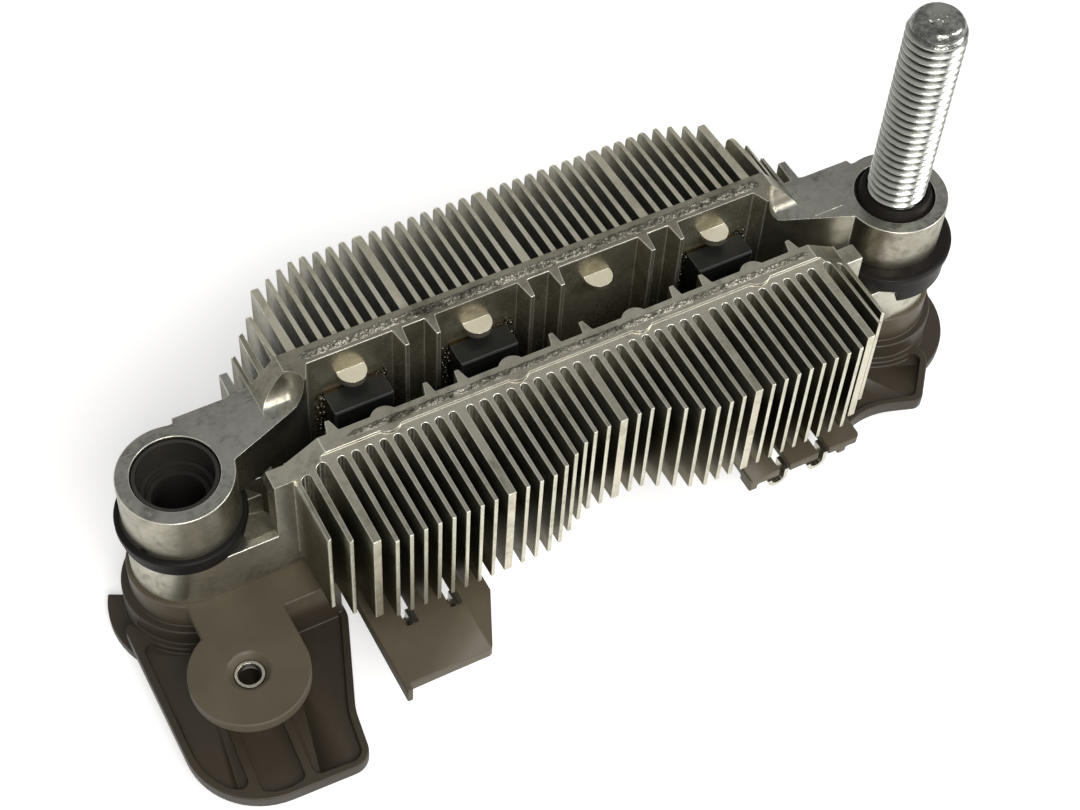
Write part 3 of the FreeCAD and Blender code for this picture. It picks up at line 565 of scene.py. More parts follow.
@dataclass(frozen=True)
class StudShadeAndForging:
    """Painted shade in the thread's roots, and an end that was left as it was forged."""

    # One dark colour for the painted shade in the roots and for the forged end's blotches.
    colour: Colour
    axis: Span
    root: Span
    end: Span
    shank: Span = (0.026, 0.0285)
    blotch_tone: Span = (0.15, 0.85)
    blotch_share: Span = (0.25, 0.8)
    lumps: Noise = Noise(1900.0, detail=3.0)
    lump_depth: float = 0.00016

    def end_mask(self, surface: SurfaceTree) -> Socket:
        """The mask of the forged end: 1 on the end, 0 on the thread."""
        return surface.ramp(surface.split(surface.where)["Z"], self.end)

    def root_shade_mask(self, surface: SurfaceTree) -> Socket:
        """Make the mask of the painted shade in the thread's roots.

        Args:
            surface: The material's tree.

        Returns:
            1 at the roots, 0 at the crests and on the head.
        """
        spot = surface.split(surface.where)
        x = surface.math("SUBTRACT", spot["X"], self.axis[0])
        y = surface.math("SUBTRACT", spot["Y"], self.axis[1])
        squares = surface.math("MULTIPLY_ADD", x, x, surface.math("MULTIPLY", y, y))
        roots = surface.ramp(surface.math("SQRT", squares), self.root, (1.0, 0.0))
        return surface.math("MULTIPLY", roots, surface.ramp(spot["Z"], self.shank))

    def darken(self, surface: SurfaceTree, groups: EffectGroups, colour: Socket) -> Socket:
        """Paint shade into the roots, and darken the end in blotches.

        Args:
            surface: The material's tree.
            groups: The shared effects.
            colour: The plating's colour.

        Returns:
            The colour with painted shade in the roots and the forged end's blotches.
        """
        end = self.end_mask(surface)
        roots = surface.math("MULTIPLY", self.root_shade_mask(surface),
                             surface.math("SUBTRACT", 1.0, end))
        tone = surface.effect(groups.cast_skin).outputs["Tone"]
        blotch = surface.math("MULTIPLY", end,
                              surface.ramp(tone, self.blotch_tone, self.blotch_share))
        return surface.mix(blotch, surface.mix(roots, colour, self.colour), self.colour)

    def roughen(self, surface: SurfaceTree, height: Socket) -> Socket:
        """Add the forged end's lumps to a height in metres.

        Args:
            surface: The material's tree.
            height: The plating's height.

        Returns:
            The height with the lumps.
        """
        lumps = surface.math("MULTIPLY", surface.noise(surface.where, self.lumps),
                             self.end_mask(surface))
        return surface.math("MULTIPLY_ADD", lumps, self.lump_depth, height)


@dataclass(frozen=True)
class PlatedMetal:
    """Bright plated or tinned metal with light stains."""

    name: str
    base: Colour
    tarnish: Colour
    rough: float
    soot: float = 0.4
    stain_rough: float = 0.2
    grain_depth: float = 0.000004
    grain_strength: float = 0.5
    # Painted shade in a stud's thread roots, and its forged end, where given.
    shade_and_forging: Optional[StudShadeAndForging] = None

    def build(self, groups: EffectGroups) -> Material:
        """Make the material.

        Args:
            groups: The shared effects.

        Returns:
            The material.
        """
        surface = SurfaceTree(self.name)
        stains = surface.effect(groups.soot, self.soot).outputs["Mask"]
        grain = surface.effect(groups.grain).outputs["Height"]
        colour = surface.mix(stains, self.base, self.tarnish)
        height = surface.math("MULTIPLY", grain, self.grain_depth)
        # Paint shade into the thread's roots and mark the forged end.
        if self.shade_and_forging is not None:
            colour = self.shade_and_forging.darken(surface, groups, colour)
            height = self.shade_and_forging.roughen(surface, height)
        surface.give("Base Color", colour)
        surface.give("Roughness",
                     surface.math("MULTIPLY_ADD", stains, self.stain_rough, self.rough))
        surface.give("Metallic", 1.0)
        surface.bump(height, 1.0, self.grain_strength)
        return surface.material


class Finish(Enum):
    """Each finish of the rectifier, by the slot or the surface it is for."""

    # The rear fins carry painted shade towards their feet.
    REAR_SINK = CastAluminium(
        "cast_aluminium_rear", dark=linear(154, 149, 134), light=linear(186, 181, 166),
        stain=linear(108, 103, 89), smooth=0.28, coarse=0.42,
        painted_shade=DeepShade(linear(104, 97, 72), foot=0.0255, top=0.0345, wall=0.0128, beyond=0.0142))
    POCKET_WALL = CastAluminium(
        "pocket_wall", dark=linear(146, 140, 120), light=linear(180, 174, 154),
        stain=linear(106, 99, 81), smooth=0.2, coarse=0.34, soot=0.55, rub=0.3, metal=0.85)
    # The front fins carry painted shade towards their feet, behind the wall.
    FRONT_SINK = CastAluminium(
        "cast_aluminium_front", dark=linear(178, 174, 158), light=linear(212, 208, 193),
        stain=linear(126, 121, 106), smooth=0.28, coarse=0.42,
        painted_shade=DeepShade(linear(114, 107, 84), foot=0.0255, top=0.0312, wall=-0.0022,
                       beyond=-0.005))
    # A lighter copy of the cast aluminium: painted light on the rear fins' tops and the front
    # fins' tips.
    FIN_TIP_LIT = CastAluminium(
        "fin_tip", dark=linear(200, 195, 174), light=linear(228, 222, 202),
        stain=linear(140, 133, 112), smooth=0.3, coarse=0.44, soot=0.5, metal=0.9)
    FACED_DECK = CastAluminium(
        "faced_deck", dark=linear(156, 156, 149), light=linear(188, 188, 180),
        stain=linear(112, 111, 103), smooth=0.3, coarse=0.44, soot=0.9, rub=0.8)
    # The rounded edges: worn bright, and lighter still as a painted highlight.
    RUBBED_EDGE_HIGHLIGHT = CastAluminium(
        "rubbed_edge", dark=linear(212, 208, 195), light=linear(234, 231, 221),
        stain=linear(150, 146, 134), smooth=0.24, coarse=0.36, soot=0.35, rub=0.1, metal=0.85)
    # The machined pad faces, made bright and nearly non-metallic as a painted sheen.
    PAD_FACE_SHEEN = CastAluminium(
        "pad_face", dark=linear(198, 193, 172), light=linear(208, 203, 184),
        stain=linear(178, 171, 149), smooth=0.5, coarse=0.6, soot=0.3, rub=0.15, metal=0.2)
    CHIPPED = CastAluminium(
        "chipped_line", dark=linear(96, 93, 84), light=linear(166, 162, 150),
        stain=linear(54, 51, 45), smooth=0.4, coarse=0.58, soot=0.9, rub=0.0, metal=0.9)
    # The board's lower faces carry painted shade.
    BOARD = MouldedPlastic("moulded_board", linear(76, 68, 54), linear(86, 78, 63), 0.42,
                           painted_shade=linear(54, 46, 35))
    BUSH = MouldedPlastic("bush_plastic", linear(19, 17, 15), linear(29, 25, 22), 0.34,
                          gloss=0.16)
    # A lighter copy of the bush's plastic: painted light on the lit inside of the mouth.
    BUSH_MOUTH_LIT = MouldedPlastic("bush_mouth", linear(42, 40, 36), linear(56, 52, 47), 0.3,
                                gloss=0.3)
    DIODE = MouldedPlastic("diode_moulding", linear(20, 21, 19), linear(30, 31, 28), 0.4,
                           gloss=0.4)
    # Lighter rounded edges on the diodes: a painted highlight.
    DIODE_EDGE_HIGHLIGHT = MouldedPlastic("diode_edge", linear(52, 52, 50), linear(66, 66, 63), 0.34)
    RESIN = MouldedPlastic("amber_resin", linear(9, 7, 4), linear(44, 33, 10), 0.08, coat=0.7)
    COPPER = PlatedMetal("plated_copper", linear(72, 61, 46), linear(40, 33, 25), 0.4)
    TIN = PlatedMetal("tinned_metal", linear(214, 211, 200), linear(160, 155, 143), 0.24)
    # The stud's zinc, with painted shade in its thread roots.
    ZINC = PlatedMetal("zinc_plate", linear(214, 216, 208), linear(150, 152, 145), 0.2,
                       shade_and_forging=StudShadeAndForging(linear(52, 54, 52), axis=(0.0518, 0.0051),
                                     root=(0.00338, 0.00378), end=(0.0594, 0.0598)))


class Palette:
    """Builds each finish once and hands it out."""

    def __init__(self) -> None:
        """Build the shared effects."""
        self.groups = EffectGroups.build()
        self.made: dict[Finish, Material] = {}

    def get(self, finish: Finish) -> Material:
        """Find or build a finish's material.

        Args:
            finish: The finish.

        Returns:
            Its material.
        """
        if finish not in self.made:
            self.made[finish] = finish.value.build(self.groups)
        return self.made[finish]


# Meshes

WELD = 1e-6  # metres between points that become one
FLAT = math.radians(0.6)  # bend between faces that become one
SLIVER = 2e-5  # metres; what is narrower goes
LEAST_WEIGHT = 0.08  # edges with less room stay sharp
ROOM_SHARE = 0.42  # share of an edge that a rounding beside it may take up
LEAST_SHRINK = 1e-3  # edges that shorten less aren't limited
RUNS_ON = math.radians(150)  # edges that meet at more than this are one line
LEAST_CORNER = 0.05  # radians


def add_object(name: str, data: bpy.types.ID) -> Piece:
    """Put a mesh, camera or light in the scene as a named object at the origin.

    Args:
        name: The object's name.
        data: Its data.

    Returns:
        The new object.
    """
    made = bpy.data.objects.new(name, data)
    bpy.context.scene.collection.objects.link(made)
    return made


def add_mesh(name: str, work: WorkMesh, material: Material) -> Piece:
    """Turn a working mesh into an object of one material.

    Args:
        name: The object's name.
        work: The working mesh, freed here.
        material: The material.

    Returns:
        The new object.
    """
    mesh = bpy.data.meshes.new(name)
    work.to_mesh(mesh)
    work.free()
    mesh.materials.append(material)
    return add_object(name, mesh)


def evaluated_copy(source: Piece) -> Mesh:
    """Make a plain mesh of an object with its modifiers applied.

    Args:
        source: The object.

    Returns:
        The plain mesh.
    """
    graph = bpy.context.evaluated_depsgraph_get()
    graph.update()
    return bpy.data.meshes.new_from_object(source.evaluated_get(graph), depsgraph=graph)


def outward(mesh: Mesh) -> None:
    """Make a closed mesh's faces point outwards.

    Args:
        mesh: The mesh to change.
    """
    work = bmesh.new()
    work.from_mesh(mesh)
    bmesh.ops.recalc_face_normals(work, faces=work.faces)
    work.to_mesh(mesh)
    work.free()


def finish_piece(piece: Piece, nodes: Iterable[str] = ()) -> Piece:
    """Say what a piece rides on, and what it replaces.

    Args:
        piece: The piece.
        nodes: CAD nodes it stands for.

    Returns:
        The piece.
    """
    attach(piece, BODY)
    for node in nodes:
        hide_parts(node)
    log.info("%s: %d faces", piece.name, len(piece.data.polygons))
    return piece


@dataclass(frozen=True)
class Region:
    """A box in millimetres, measured from the point midway between the boss axes."""

    low: Place = (-99.0, -99.0, -99.0)
    high: Place = (99.0, 99.0, 99.0)

    def holds(self, place: Vector) -> bool:
        """Tell whether a point in the row frame is inside.

        Args:
            place: The point, in metres.

        Returns:
            True inside the box.
        """
        local = (place - origin()) / MM
        return all(a <= v <= b for a, v, b in zip(self.low, local, self.high))


@dataclass(frozen=True)
class FaceRule:
    """Gives the faces in a region that look one way a finish of their own."""

    finish: Finish
    region: Region
    toward: Place = (0.0, 0.0, 1.0)
    at_least: float = 0.9

    def takes(self, face: bmesh.types.BMFace) -> bool:
        """Tell whether a face gets the rule's finish."""
        return (face.normal.dot(Vector(self.toward)) > self.at_least
                and self.region.holds(face.calc_center_median()))


@dataclass
class SoftEdgedNode:
    """A CAD node redrawn with small rounded edges that can take a finish of their own."""

    node: str
    slot: str
    face: Finish
    # The rounded edges' finish; on the heat sinks and diodes it is a painted highlight.
    edge: Optional[Finish] = None
    edge_width: float = 0.00012
    edge_angle: float = 28.0
    segments: int = 2
    shortest: float = 0.0
    keep_room: bool = True
    face_rules: tuple[FaceRule, ...] = ()

    def build(self, palette: Palette) -> Piece:
        """Copy the node's mesh, clean it, round its edges and dress it.

        Args:
            palette: Where the materials come from.

        Returns:
            The piece, riding on the body.
        """
        mesh = frame["nodes"][self.node].data.copy()
        mesh.materials.clear()
        for finish in (self.face, self.edge or self.face, *(r.finish for r in self.face_rules)):
            mesh.materials.append(palette.get(finish))
        self._clean(mesh)
        piece = add_object(self.node + "_dressed", mesh)
        bevel = piece.modifiers.new("edges", "BEVEL")
        bevel.width = self.edge_width
        bevel.segments = self.segments
        bevel.limit_method = "WEIGHT"
        bevel.use_clamp_overlap = False
        bevel.material = 1
        bevel.miter_outer = "MITER_ARC"
        weighted = piece.modifiers.new("normals", "WEIGHTED_NORMAL")
        weighted.mode = "FACE_AREA"
        weighted.weight = 100
        weighted.keep_sharp = True
        plain = evaluated_copy(piece)
        piece.modifiers.clear()
        piece.data = plain
        return finish_piece(piece, [self.node])

    def _clean(self, mesh: Mesh) -> None:
        """Merge loose triangles into flat faces, sort the faces and weigh their edges.

        Args:
            mesh: The mesh to change.
        """
        work = bmesh.new()
        work.from_mesh(mesh)
        bmesh.ops.remove_doubles(work, verts=work.verts, dist=WELD)
        bmesh.ops.dissolve_limit(work, angle_limit=FLAT, verts=work.verts, edges=work.edges,
                                 use_dissolve_boundaries=False)
        bmesh.ops.dissolve_degenerate(work, edges=work.edges, dist=SLIVER)
        work.normal_update()
        for face in work.faces:
            face.smooth = True
            face.material_index = self._slot_of(face)
        room = self._room(work) if self.keep_room else {}
        weights = work.edges.layers.float.new("bevel_weight_edge")
        for edge in work.edges:
            if edge.calc_face_angle(0.0) < math.radians(self.edge_angle):
                continue
            weight = min(1.0, room.get(edge.index, self.edge_width) / self.edge_width)
            if edge.calc_length() > self.shortest and weight > LEAST_WEIGHT:
                edge[weights] = weight
            else:
                edge.smooth = False
        work.to_mesh(mesh)
        work.free()

    def _room(self, work: WorkMesh) -> dict[int, float]:
        """Find how wide each edge can be rounded before an edge beside it vanishes.

        Args:
            work: The mesh.

        Returns:
            The greatest width per edge index, for the edges that are limited.
        """
        work.edges.index_update()
        room: dict[int, float] = {}
        for face in work.faces:
            for loop in face.loops:
                before, after = loop.link_loop_prev, loop.link_loop_next
                shrink = self._shrink(loop) + self._shrink(after)
                if shrink > LEAST_SHRINK:
                    limit = ROOM_SHARE * loop.edge.calc_length() / shrink
                    for near in (before.edge, loop.edge, after.edge):
                        room[near.index] = min(limit, room.get(near.index, self.edge_width))
        self._even_out(work, room)
        return room

    def _even_out(self, work: WorkMesh, room: dict[int, float]) -> None:
        """Give edges that run smoothly on from one another one width, the least of them.

        Args:
            work: The mesh.
            room: The greatest width per edge index, changed here.
        """
        joints = [(loop.link_loop_prev.edge.index, loop.edge.index)
                  for face in work.faces for loop in face.loops if loop.calc_angle() > RUNS_ON]
        changed = True
        while changed:
            changed = False
            for pair in joints:
                least = min(room.get(index, self.edge_width) for index in pair)
                for index in pair:
                    if room.get(index, self.edge_width) > least:
                        room[index] = least
                        changed = True

    @staticmethod
    def _shrink(loop: bmesh.types.BMLoop) -> float:
        """How much an edge shortens at a corner per unit of rounding width."""
        angle = loop.calc_angle() if loop.is_convex else 2 * math.pi - loop.calc_angle()
        return 1.0 / math.tan(0.5 * max(angle, LEAST_CORNER))

    def _slot_of(self, face: bmesh.types.BMFace) -> int:
        """Find the place in the material list that a face takes.

        Args:
            face: The face.

        Returns:
            0 for the plain finish, 2 and up for the face rules.
        """
        for index, rule in enumerate(self.face_rules):
            if rule.takes(face):
                return index + 2
        return 0


# Grown pieces


class GeometryTree(TreeFiller):
    """A Geometry Nodes tree that grows one plain object."""

    def __init__(self, name: str, sizes: dict[str, float]) -> None:
        """Start a tree with a float input per size and a geometry output.

        Args:
            name: The tree's and the object's name.
            sizes: Input name to the value it gets.
        """
        super().__init__(bpy.data.node_groups.new(name, "GeometryNodeTree"))
        self.name = name
        rim = self.tree.interface
        self.values: dict[str, float] = {}
        for label, value in sizes.items():
            made = rim.new_socket(label, in_out="INPUT", socket_type="NodeSocketFloat")
            self.values[made.identifier] = float(value)
        rim.new_socket("Geometry", in_out="OUTPUT", socket_type="NodeSocketGeometry")
        self.entry = self.node("NodeGroupInput")
        self.leave = self.node("NodeGroupOutput")

    def size(self, label: str) -> Socket:
        """The socket of a named input."""
        return self.entry.outputs[label]

    def point(self, x: object, y: object, z: object = 0.0) -> Socket:
        """The socket of a vector made of three coordinates."""
        return self.node("ShaderNodeCombineXYZ", X=x, Y=y, Z=z).outputs[0]

    def sheet(self, columns: int, rows: int, length: float = 1.0) -> tuple[Socket, Socket, Socket]:
        """Add a flat grid, 1 wide, that is to be wrapped.

        Args:
            columns: Points across.
            rows: Points along.
            length: Its length.

        Returns:
            The grid, and each point's X and Y from the middle.
        """
        grid = self.node("GeometryNodeMeshGrid", Size_X=1.0, Size_Y=length, Vertices_X=columns,
                         Vertices_Y=rows)
        spot = self.split(self.node("GeometryNodeInputPosition").outputs[0])
        return grid.outputs[0], spot["X"], spot["Y"]

    def wrap(self, sheet: Socket, place: Socket, weld: float) -> Socket:
        """Move a grid's points to their places and join those that meet.

        Args:
            sheet: The grid.
            place: Where each point goes.
            weld: Metres between points that become one.

        Returns:
            The closed form.
        """
        placed = self.node("GeometryNodeSetPosition", Geometry=sheet, Position=place)
        return self.node("GeometryNodeMergeByDistance", Geometry=placed.outputs[0],
                         Distance=weld).outputs[0]

    def smooth(self, geometry: Socket) -> Socket:
        """Shade a form smoothly."""
        return self.node("GeometryNodeSetShadeSmooth", Geometry=geometry).outputs[0]

    def grow(self, geometry: Socket, material: Material) -> Piece:
        """End the tree in Realize Instances and Set Material, and run it once.

        Args:
            geometry: The geometry.
            material: The material that all of it gets.

        Returns:
            The object with a plain mesh and no modifier.
        """
        real = self.node("GeometryNodeRealizeInstances", Geometry=geometry)
        dressed = self.node("GeometryNodeSetMaterial", Geometry=real.outputs[0], Material=material)
        self.feed(self.leave.inputs["Geometry"], dressed.outputs[0])
        made = add_object(self.name, bpy.data.meshes.new(self.name))
        modifier = made.modifiers.new("grow", "NODES")
        modifier.node_group = self.tree
        for key, value in self.values.items():
            modifier[key] = value
        plain = evaluated_copy(made)
        made.modifiers.remove(modifier)
        made.data = plain
        return made


@dataclass
class ThreadedStud:
    """The output stud: a threaded shank with a rounded end above a plain hexagon head."""

    radius: float = 0.004
    pitch: float = 0.00125
    depth: float = 0.0007
    flank: Span = (0.05, 0.45)
    chamfer: float = 0.00115
    taper: float = 0.9
    blunt_start: float = 0.9
    blunt_rise: float = 0.03
    dish: float = 0.00032
    dish_rim: Span = (0.25, 0.5)
    dents: Noise = Noise(1500.0, detail=2.0, rough=0.5)
    dent_floor: float = 0.3
    dent_gain: float = 3.0
    head_across: float = 0.012
    head_height: float = 0.0044
    head_edge: float = 0.00025
    around: int = 96
    rows_per_turn: int = 12
    spare_turns: int = 4
    shift_turns: float = 20.0
    weld: float = 2e-6

    def build(self, palette: Palette) -> list[Piece]:
        """Grow the thread and the head and let them stand for the CAD stud.

        Args:
            palette: Where the material comes from.

        Returns:
            The two pieces.
        """
        low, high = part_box("output_stud")
        axis = mount("output_stud_thread")
        zinc = palette.get(Finish.ZINC)
        thread = self._thread(zinc, axis, low.z + self.head_height, high.z)
        head = self._head(zinc, axis, low.z)
        finish_piece(head)
        return [finish_piece(thread, ["output_stud"]), head]

    def _thread(self, zinc: Material, axis: Vector, foot: float, top: float) -> Piece:
        """Wrap a sheared grid round the axis so that its rows follow the helix.

        Args:
            zinc: The material.
            axis: A point on the stud's axis.
            foot: Height where the shank starts.
            top: Height of the stud's end.

        Returns:
            The threaded shank.
        """
        tree = GeometryTree("stud_thread", {
            "Radius": self.radius, "Pitch": self.pitch, "Depth": self.depth, "Foot": foot,
            "Top": top, "Chamfer": self.chamfer, "Dish": self.dish, "Axis X": axis.x,
            "Axis Y": axis.y})
        calc, size = tree.math, tree.size
        turns = math.ceil((top - foot) / self.pitch + self.spare_turns)
        rows = turns * self.rows_per_turn + 1
        sheet, across, length = tree.sheet(self.around + 1, rows, float(turns))
        turn = calc("ADD", across, 0.5)
        along = calc("ADD", length, 0.5 * (turns - self.spare_turns))
        rise = calc("MULTIPLY_ADD", calc("ADD", along, turn), size("Pitch"), size("Foot"))
        share = calc("FRACT", calc("ADD", along, self.shift_turns))
        wave = calc("ABSOLUTE", calc("SUBTRACT", share, 0.5))
        groove = calc("MULTIPLY", tree.ramp(wave, self.flank, (1.0, 0.0), "LINEAR"), size("Depth"))
        level = calc("MINIMUM", calc("MAXIMUM", rise, size("Foot")), size("Top"))
        below = calc("SUBTRACT", size("Top"), level)
        face_edge = calc("SUBTRACT", size("Radius"), size("Chamfer"))
        taper = calc("MULTIPLY_ADD", below, self.taper, face_edge)
        blunt = calc("ADD", calc("MULTIPLY", face_edge, self.blunt_start),
                     calc("MULTIPLY", calc("SQRT", below), self.blunt_rise))
        outer = calc("MINIMUM", calc("SUBTRACT", size("Radius"), groove),
                     calc("MINIMUM", taper, blunt))
        over = calc("DIVIDE", calc("SUBTRACT", rise, size("Top")), size("Pitch"))
        under = calc("DIVIDE", calc("SUBTRACT", size("Foot"), rise), size("Pitch"))
        past = calc("MINIMUM", calc("MAXIMUM", calc("MAXIMUM", over, under), 0.0), 1.0)
        reach = calc("MULTIPLY", outer, calc("SUBTRACT", 1.0, past))
        angle = calc("MULTIPLY", turn, 2 * math.pi)
        x = calc("MULTIPLY_ADD", calc("COSINE", angle), reach, size("Axis X"))
        y = calc("MULTIPLY_ADD", calc("SINE", angle), reach, size("Axis Y"))
        struck = tree.noise(tree.point(x, y), self.dents)
        dents = calc("MULTIPLY", calc("SUBTRACT", struck, self.dent_floor), self.dent_gain)
        sunk = calc("MULTIPLY", calc("MULTIPLY", tree.ramp(over, self.dish_rim), size("Dish")),
                    calc("MAXIMUM", dents, 0.0))
        place = tree.point(x, y, calc("SUBTRACT", level, sunk))
        return tree.grow(tree.smooth(tree.wrap(sheet, place, self.weld)), zinc)

    def _head(self, zinc: Material, axis: Vector, foot: float) -> Piece:
        """Make the hexagon head with softened edges.

        Args:
            zinc: The material.
            axis: A point on the stud's axis.
            foot: Height of the head's underside.

        Returns:
            The head.
        """
        work = bmesh.new()
        corner = self.head_across / math.sqrt(3)
        middle = Matrix.Translation((axis.x, axis.y, foot + self.head_height / 2))
        bmesh.ops.create_cone(work, cap_ends=True, segments=6, radius1=corner, radius2=corner,
                              depth=self.head_height,
                              matrix=middle @ Matrix.Rotation(math.radians(30), 4, "Z"))
        bmesh.ops.bevel(work, geom=work.edges[:], offset=self.head_edge, segments=2, profile=0.5,
                        affect="EDGES")
        return add_mesh("stud_head", work, zinc)


@dataclass
class ChippedLine:
    """The rough line that a broken-off casting flash leaves along a wall's top, in millimetres."""

    name: str
    slot: str
    start: float
    end: float
    middle: float
    top: float
    half_width: float
    height: float
    seed: float
    across: int = 28
    step: float = 0.08
    taper_rate: float = 60.0
    drift: Noise = Noise(420.0, rough=0.6)
    crest: Noise = Noise(1500.0, rough=0.6)
    crest_floor: float = 0.36
    crest_gain: float = 4.5
    least_crest: float = 0.04
    sunk_share: float = 0.5

    def build(self, palette: Palette) -> Piece:
        """Grow the line along the wall and let it ride on the body.

        Args:
            palette: Where the material comes from.

        Returns:
            The piece.
        """
        zero = origin()
        tree = GeometryTree(self.name, {
            "Start": zero.x + self.start * MM, "End": zero.x + self.end * MM,
            "Middle": zero.y + self.middle * MM, "Top": self.top * MM,
            "Half Width": self.half_width * MM, "Height": self.height * MM, "Seed": self.seed})
        calc, size = tree.math, tree.size
        rows = round((self.end - self.start) / self.step)
        sheet, across, length = tree.sheet(self.across + 1, rows)
        along = calc("ADD", length, 0.5)
        angle = calc("MULTIPLY", calc("ADD", across, 0.5), 2 * math.pi)
        run = calc("SUBTRACT", size("End"), size("Start"))
        x = calc("MULTIPLY_ADD", along, run, size("Start"))
        near_end = calc("MAXIMUM", calc("MINIMUM", along, calc("SUBTRACT", 1.0, along)), 0.0)
        taper = calc("MINIMUM", calc("MULTIPLY", near_end, self.taper_rate), 1.0)
        drift = tree.noise(tree.point(x, size("Seed"), size("Seed")), self.drift)
        width = calc("MULTIPLY", size("Half Width"), calc("ADD", drift, 0.5))
        side = calc("MULTIPLY", calc("MULTIPLY", calc("COSINE", angle), width), taper)
        y = calc("ADD", size("Middle"), side)
        up = calc("SINE", angle)
        rough = tree.noise(tree.point(x, y, size("Seed")), self.crest)
        crest = calc("MAXIMUM", calc("MULTIPLY", calc("SUBTRACT", rough, self.crest_floor),
                                     self.crest_gain), self.least_crest)
        lift = calc("MULTIPLY", calc("MAXIMUM", up, 0.0), calc("MULTIPLY", crest, taper))
        sink = calc("MULTIPLY", calc("MINIMUM", up, 0.0), self.sunk_share)
        z = calc("MULTIPLY_ADD", calc("ADD", lift, calc("MULTIPLY", sink, taper)),
                 size("Height"), size("Top"))
        made = tree.grow(tree.wrap(sheet, tree.point(x, y, z), WELD), palette.get(Finish.CHIPPED))
        outward(made.data)
        return finish_piece(made)


@dataclass
class ResinBeads:
    """Drops of potting resin that bind each diode to its wall, in millimetres."""

    diode_x: tuple[float, ...] = (-26.4, -8.8, 26.4)
    half_width: float = 4.45
    rear_wall: float = 5.3
    front_wall: float = -4.0
    rear_top: float = 27.1
    front_top: float = 24.0
    depth: float = 7.6
    bead: float = 0.3
    gap: float = 0.34
    off_wall: float = 0.45
    spread: float = 3.0
    smallest: float = 0.4
    size_range: float = 1.1
    fewest: int = 3
    left_short: float = 0.6
    right_over: float = 0.2
    cap_start: float = 1.6
    cap_over: float = 0.1
    cap_bead: float = 0.12
    ball_steps: int = 3

    def build(self, palette: Palette) -> Piece:
        """Grow each row of drops and join the rows into one piece.

        Args:
            palette: Where the material comes from.

        Returns:
            The piece.
        """
        resin = palette.get(Finish.RESIN)
        work = bmesh.new()
        seed = 1.0
        for x in self.diode_x:
            for y, top in ((self.rear_wall - self.off_wall, self.rear_top),
                           (self.front_wall + self.off_wall, self.front_top)):
                for start, end, bead in self._rows(x, y, top):
                    row = self._row(resin, start, end, bead, seed)
                    work.from_mesh(row.data)
                    bpy.data.objects.remove(row)
                    seed += 1.0
        return finish_piece(add_mesh("resin_beads", work, resin))

    def _rows(self, x: float, y: float, top: float) -> list[tuple[Vector, Vector, float]]:
        """List the rows beside and above one diode.

        Args:
            x: The diode's middle.
            y: The rows' distance from the bosses' plane.
            top: The height of the diode's top.

        Returns:
            Start and end of each row and the size of its drops.
        """
        low = top - self.depth
        left, right = x - self.half_width, x + self.half_width
        cap = top + self.cap_over
        return [(Vector((left, y, low)), Vector((left, y, top - self.left_short)), self.bead),
                (Vector((right, y, low)), Vector((right, y, top + self.right_over)), self.bead),
                (Vector((x + self.cap_start, y, cap)), Vector((right, y, cap)), self.cap_bead)]

    def _row(self, resin: Material, start: Vector, end: Vector, bead: float,
             seed: float) -> Piece:
        """Grow one row of drops of uneven size.

        Args:
            resin: The material.
            start: First drop.
            end: Last drop.
            bead: Radius of a drop.
            seed: What makes the row differ from the others.

        Returns:
            The row as a plain object.
        """
        zero = origin()
        a, b = start * MM, end * MM
        tree = GeometryTree("resin_row", {
            "Start X": zero.x + a.x, "Start Z": a.z, "End X": zero.x + b.x, "End Z": b.z,
            "Y": zero.y + a.y, "Bead": bead * MM, "Spread": self.spread * bead * MM, "Seed": seed})
        size = tree.size
        line = tree.node("GeometryNodeMeshLine", mode="END_POINTS",
                         Start_Location=tree.point(size("Start X"), size("Y"), size("Start Z")))
        tree.feed(line.inputs["Offset"], tree.point(size("End X"), size("Y"), size("End Z")))
        tree.feed(line.inputs["Count"], max(self.fewest, round((end - start).length / self.gap)))
        chance = tree.node("ShaderNodeTexWhiteNoise", noise_dimensions="4D", W=size("Seed"),
                           Vector=tree.node("GeometryNodeInputPosition").outputs[0])
        away = tree.node("ShaderNodeVectorMath", operation="SUBTRACT")
        tree.feed(away.inputs[0], chance.outputs["Color"])
        tree.feed(away.inputs[1], (0.5, 0.5, 0.5))
        shift = tree.node("ShaderNodeVectorMath", operation="SCALE")
        tree.feed(shift.inputs[0], away.outputs[0])
        tree.feed(shift.inputs["Scale"], size("Spread"))
        moved = tree.node("GeometryNodeSetPosition", Geometry=line.outputs[0],
                          Offset=shift.outputs[0])
        ball = tree.node("GeometryNodeMeshIcoSphere", Radius=size("Bead"),
                         Subdivisions=self.ball_steps)
        spread = tree.node("GeometryNodeInstanceOnPoints", Points=moved.outputs[0],
                           Instance=ball.outputs[0],
                           Scale=tree.math("MULTIPLY_ADD", chance.outputs["Value"],
                                           self.size_range, self.smallest))
        real = tree.node("GeometryNodeRealizeInstances", Geometry=spread.outputs[0])
        return tree.grow(tree.smooth(real.outputs[0]), resin)


# Stage


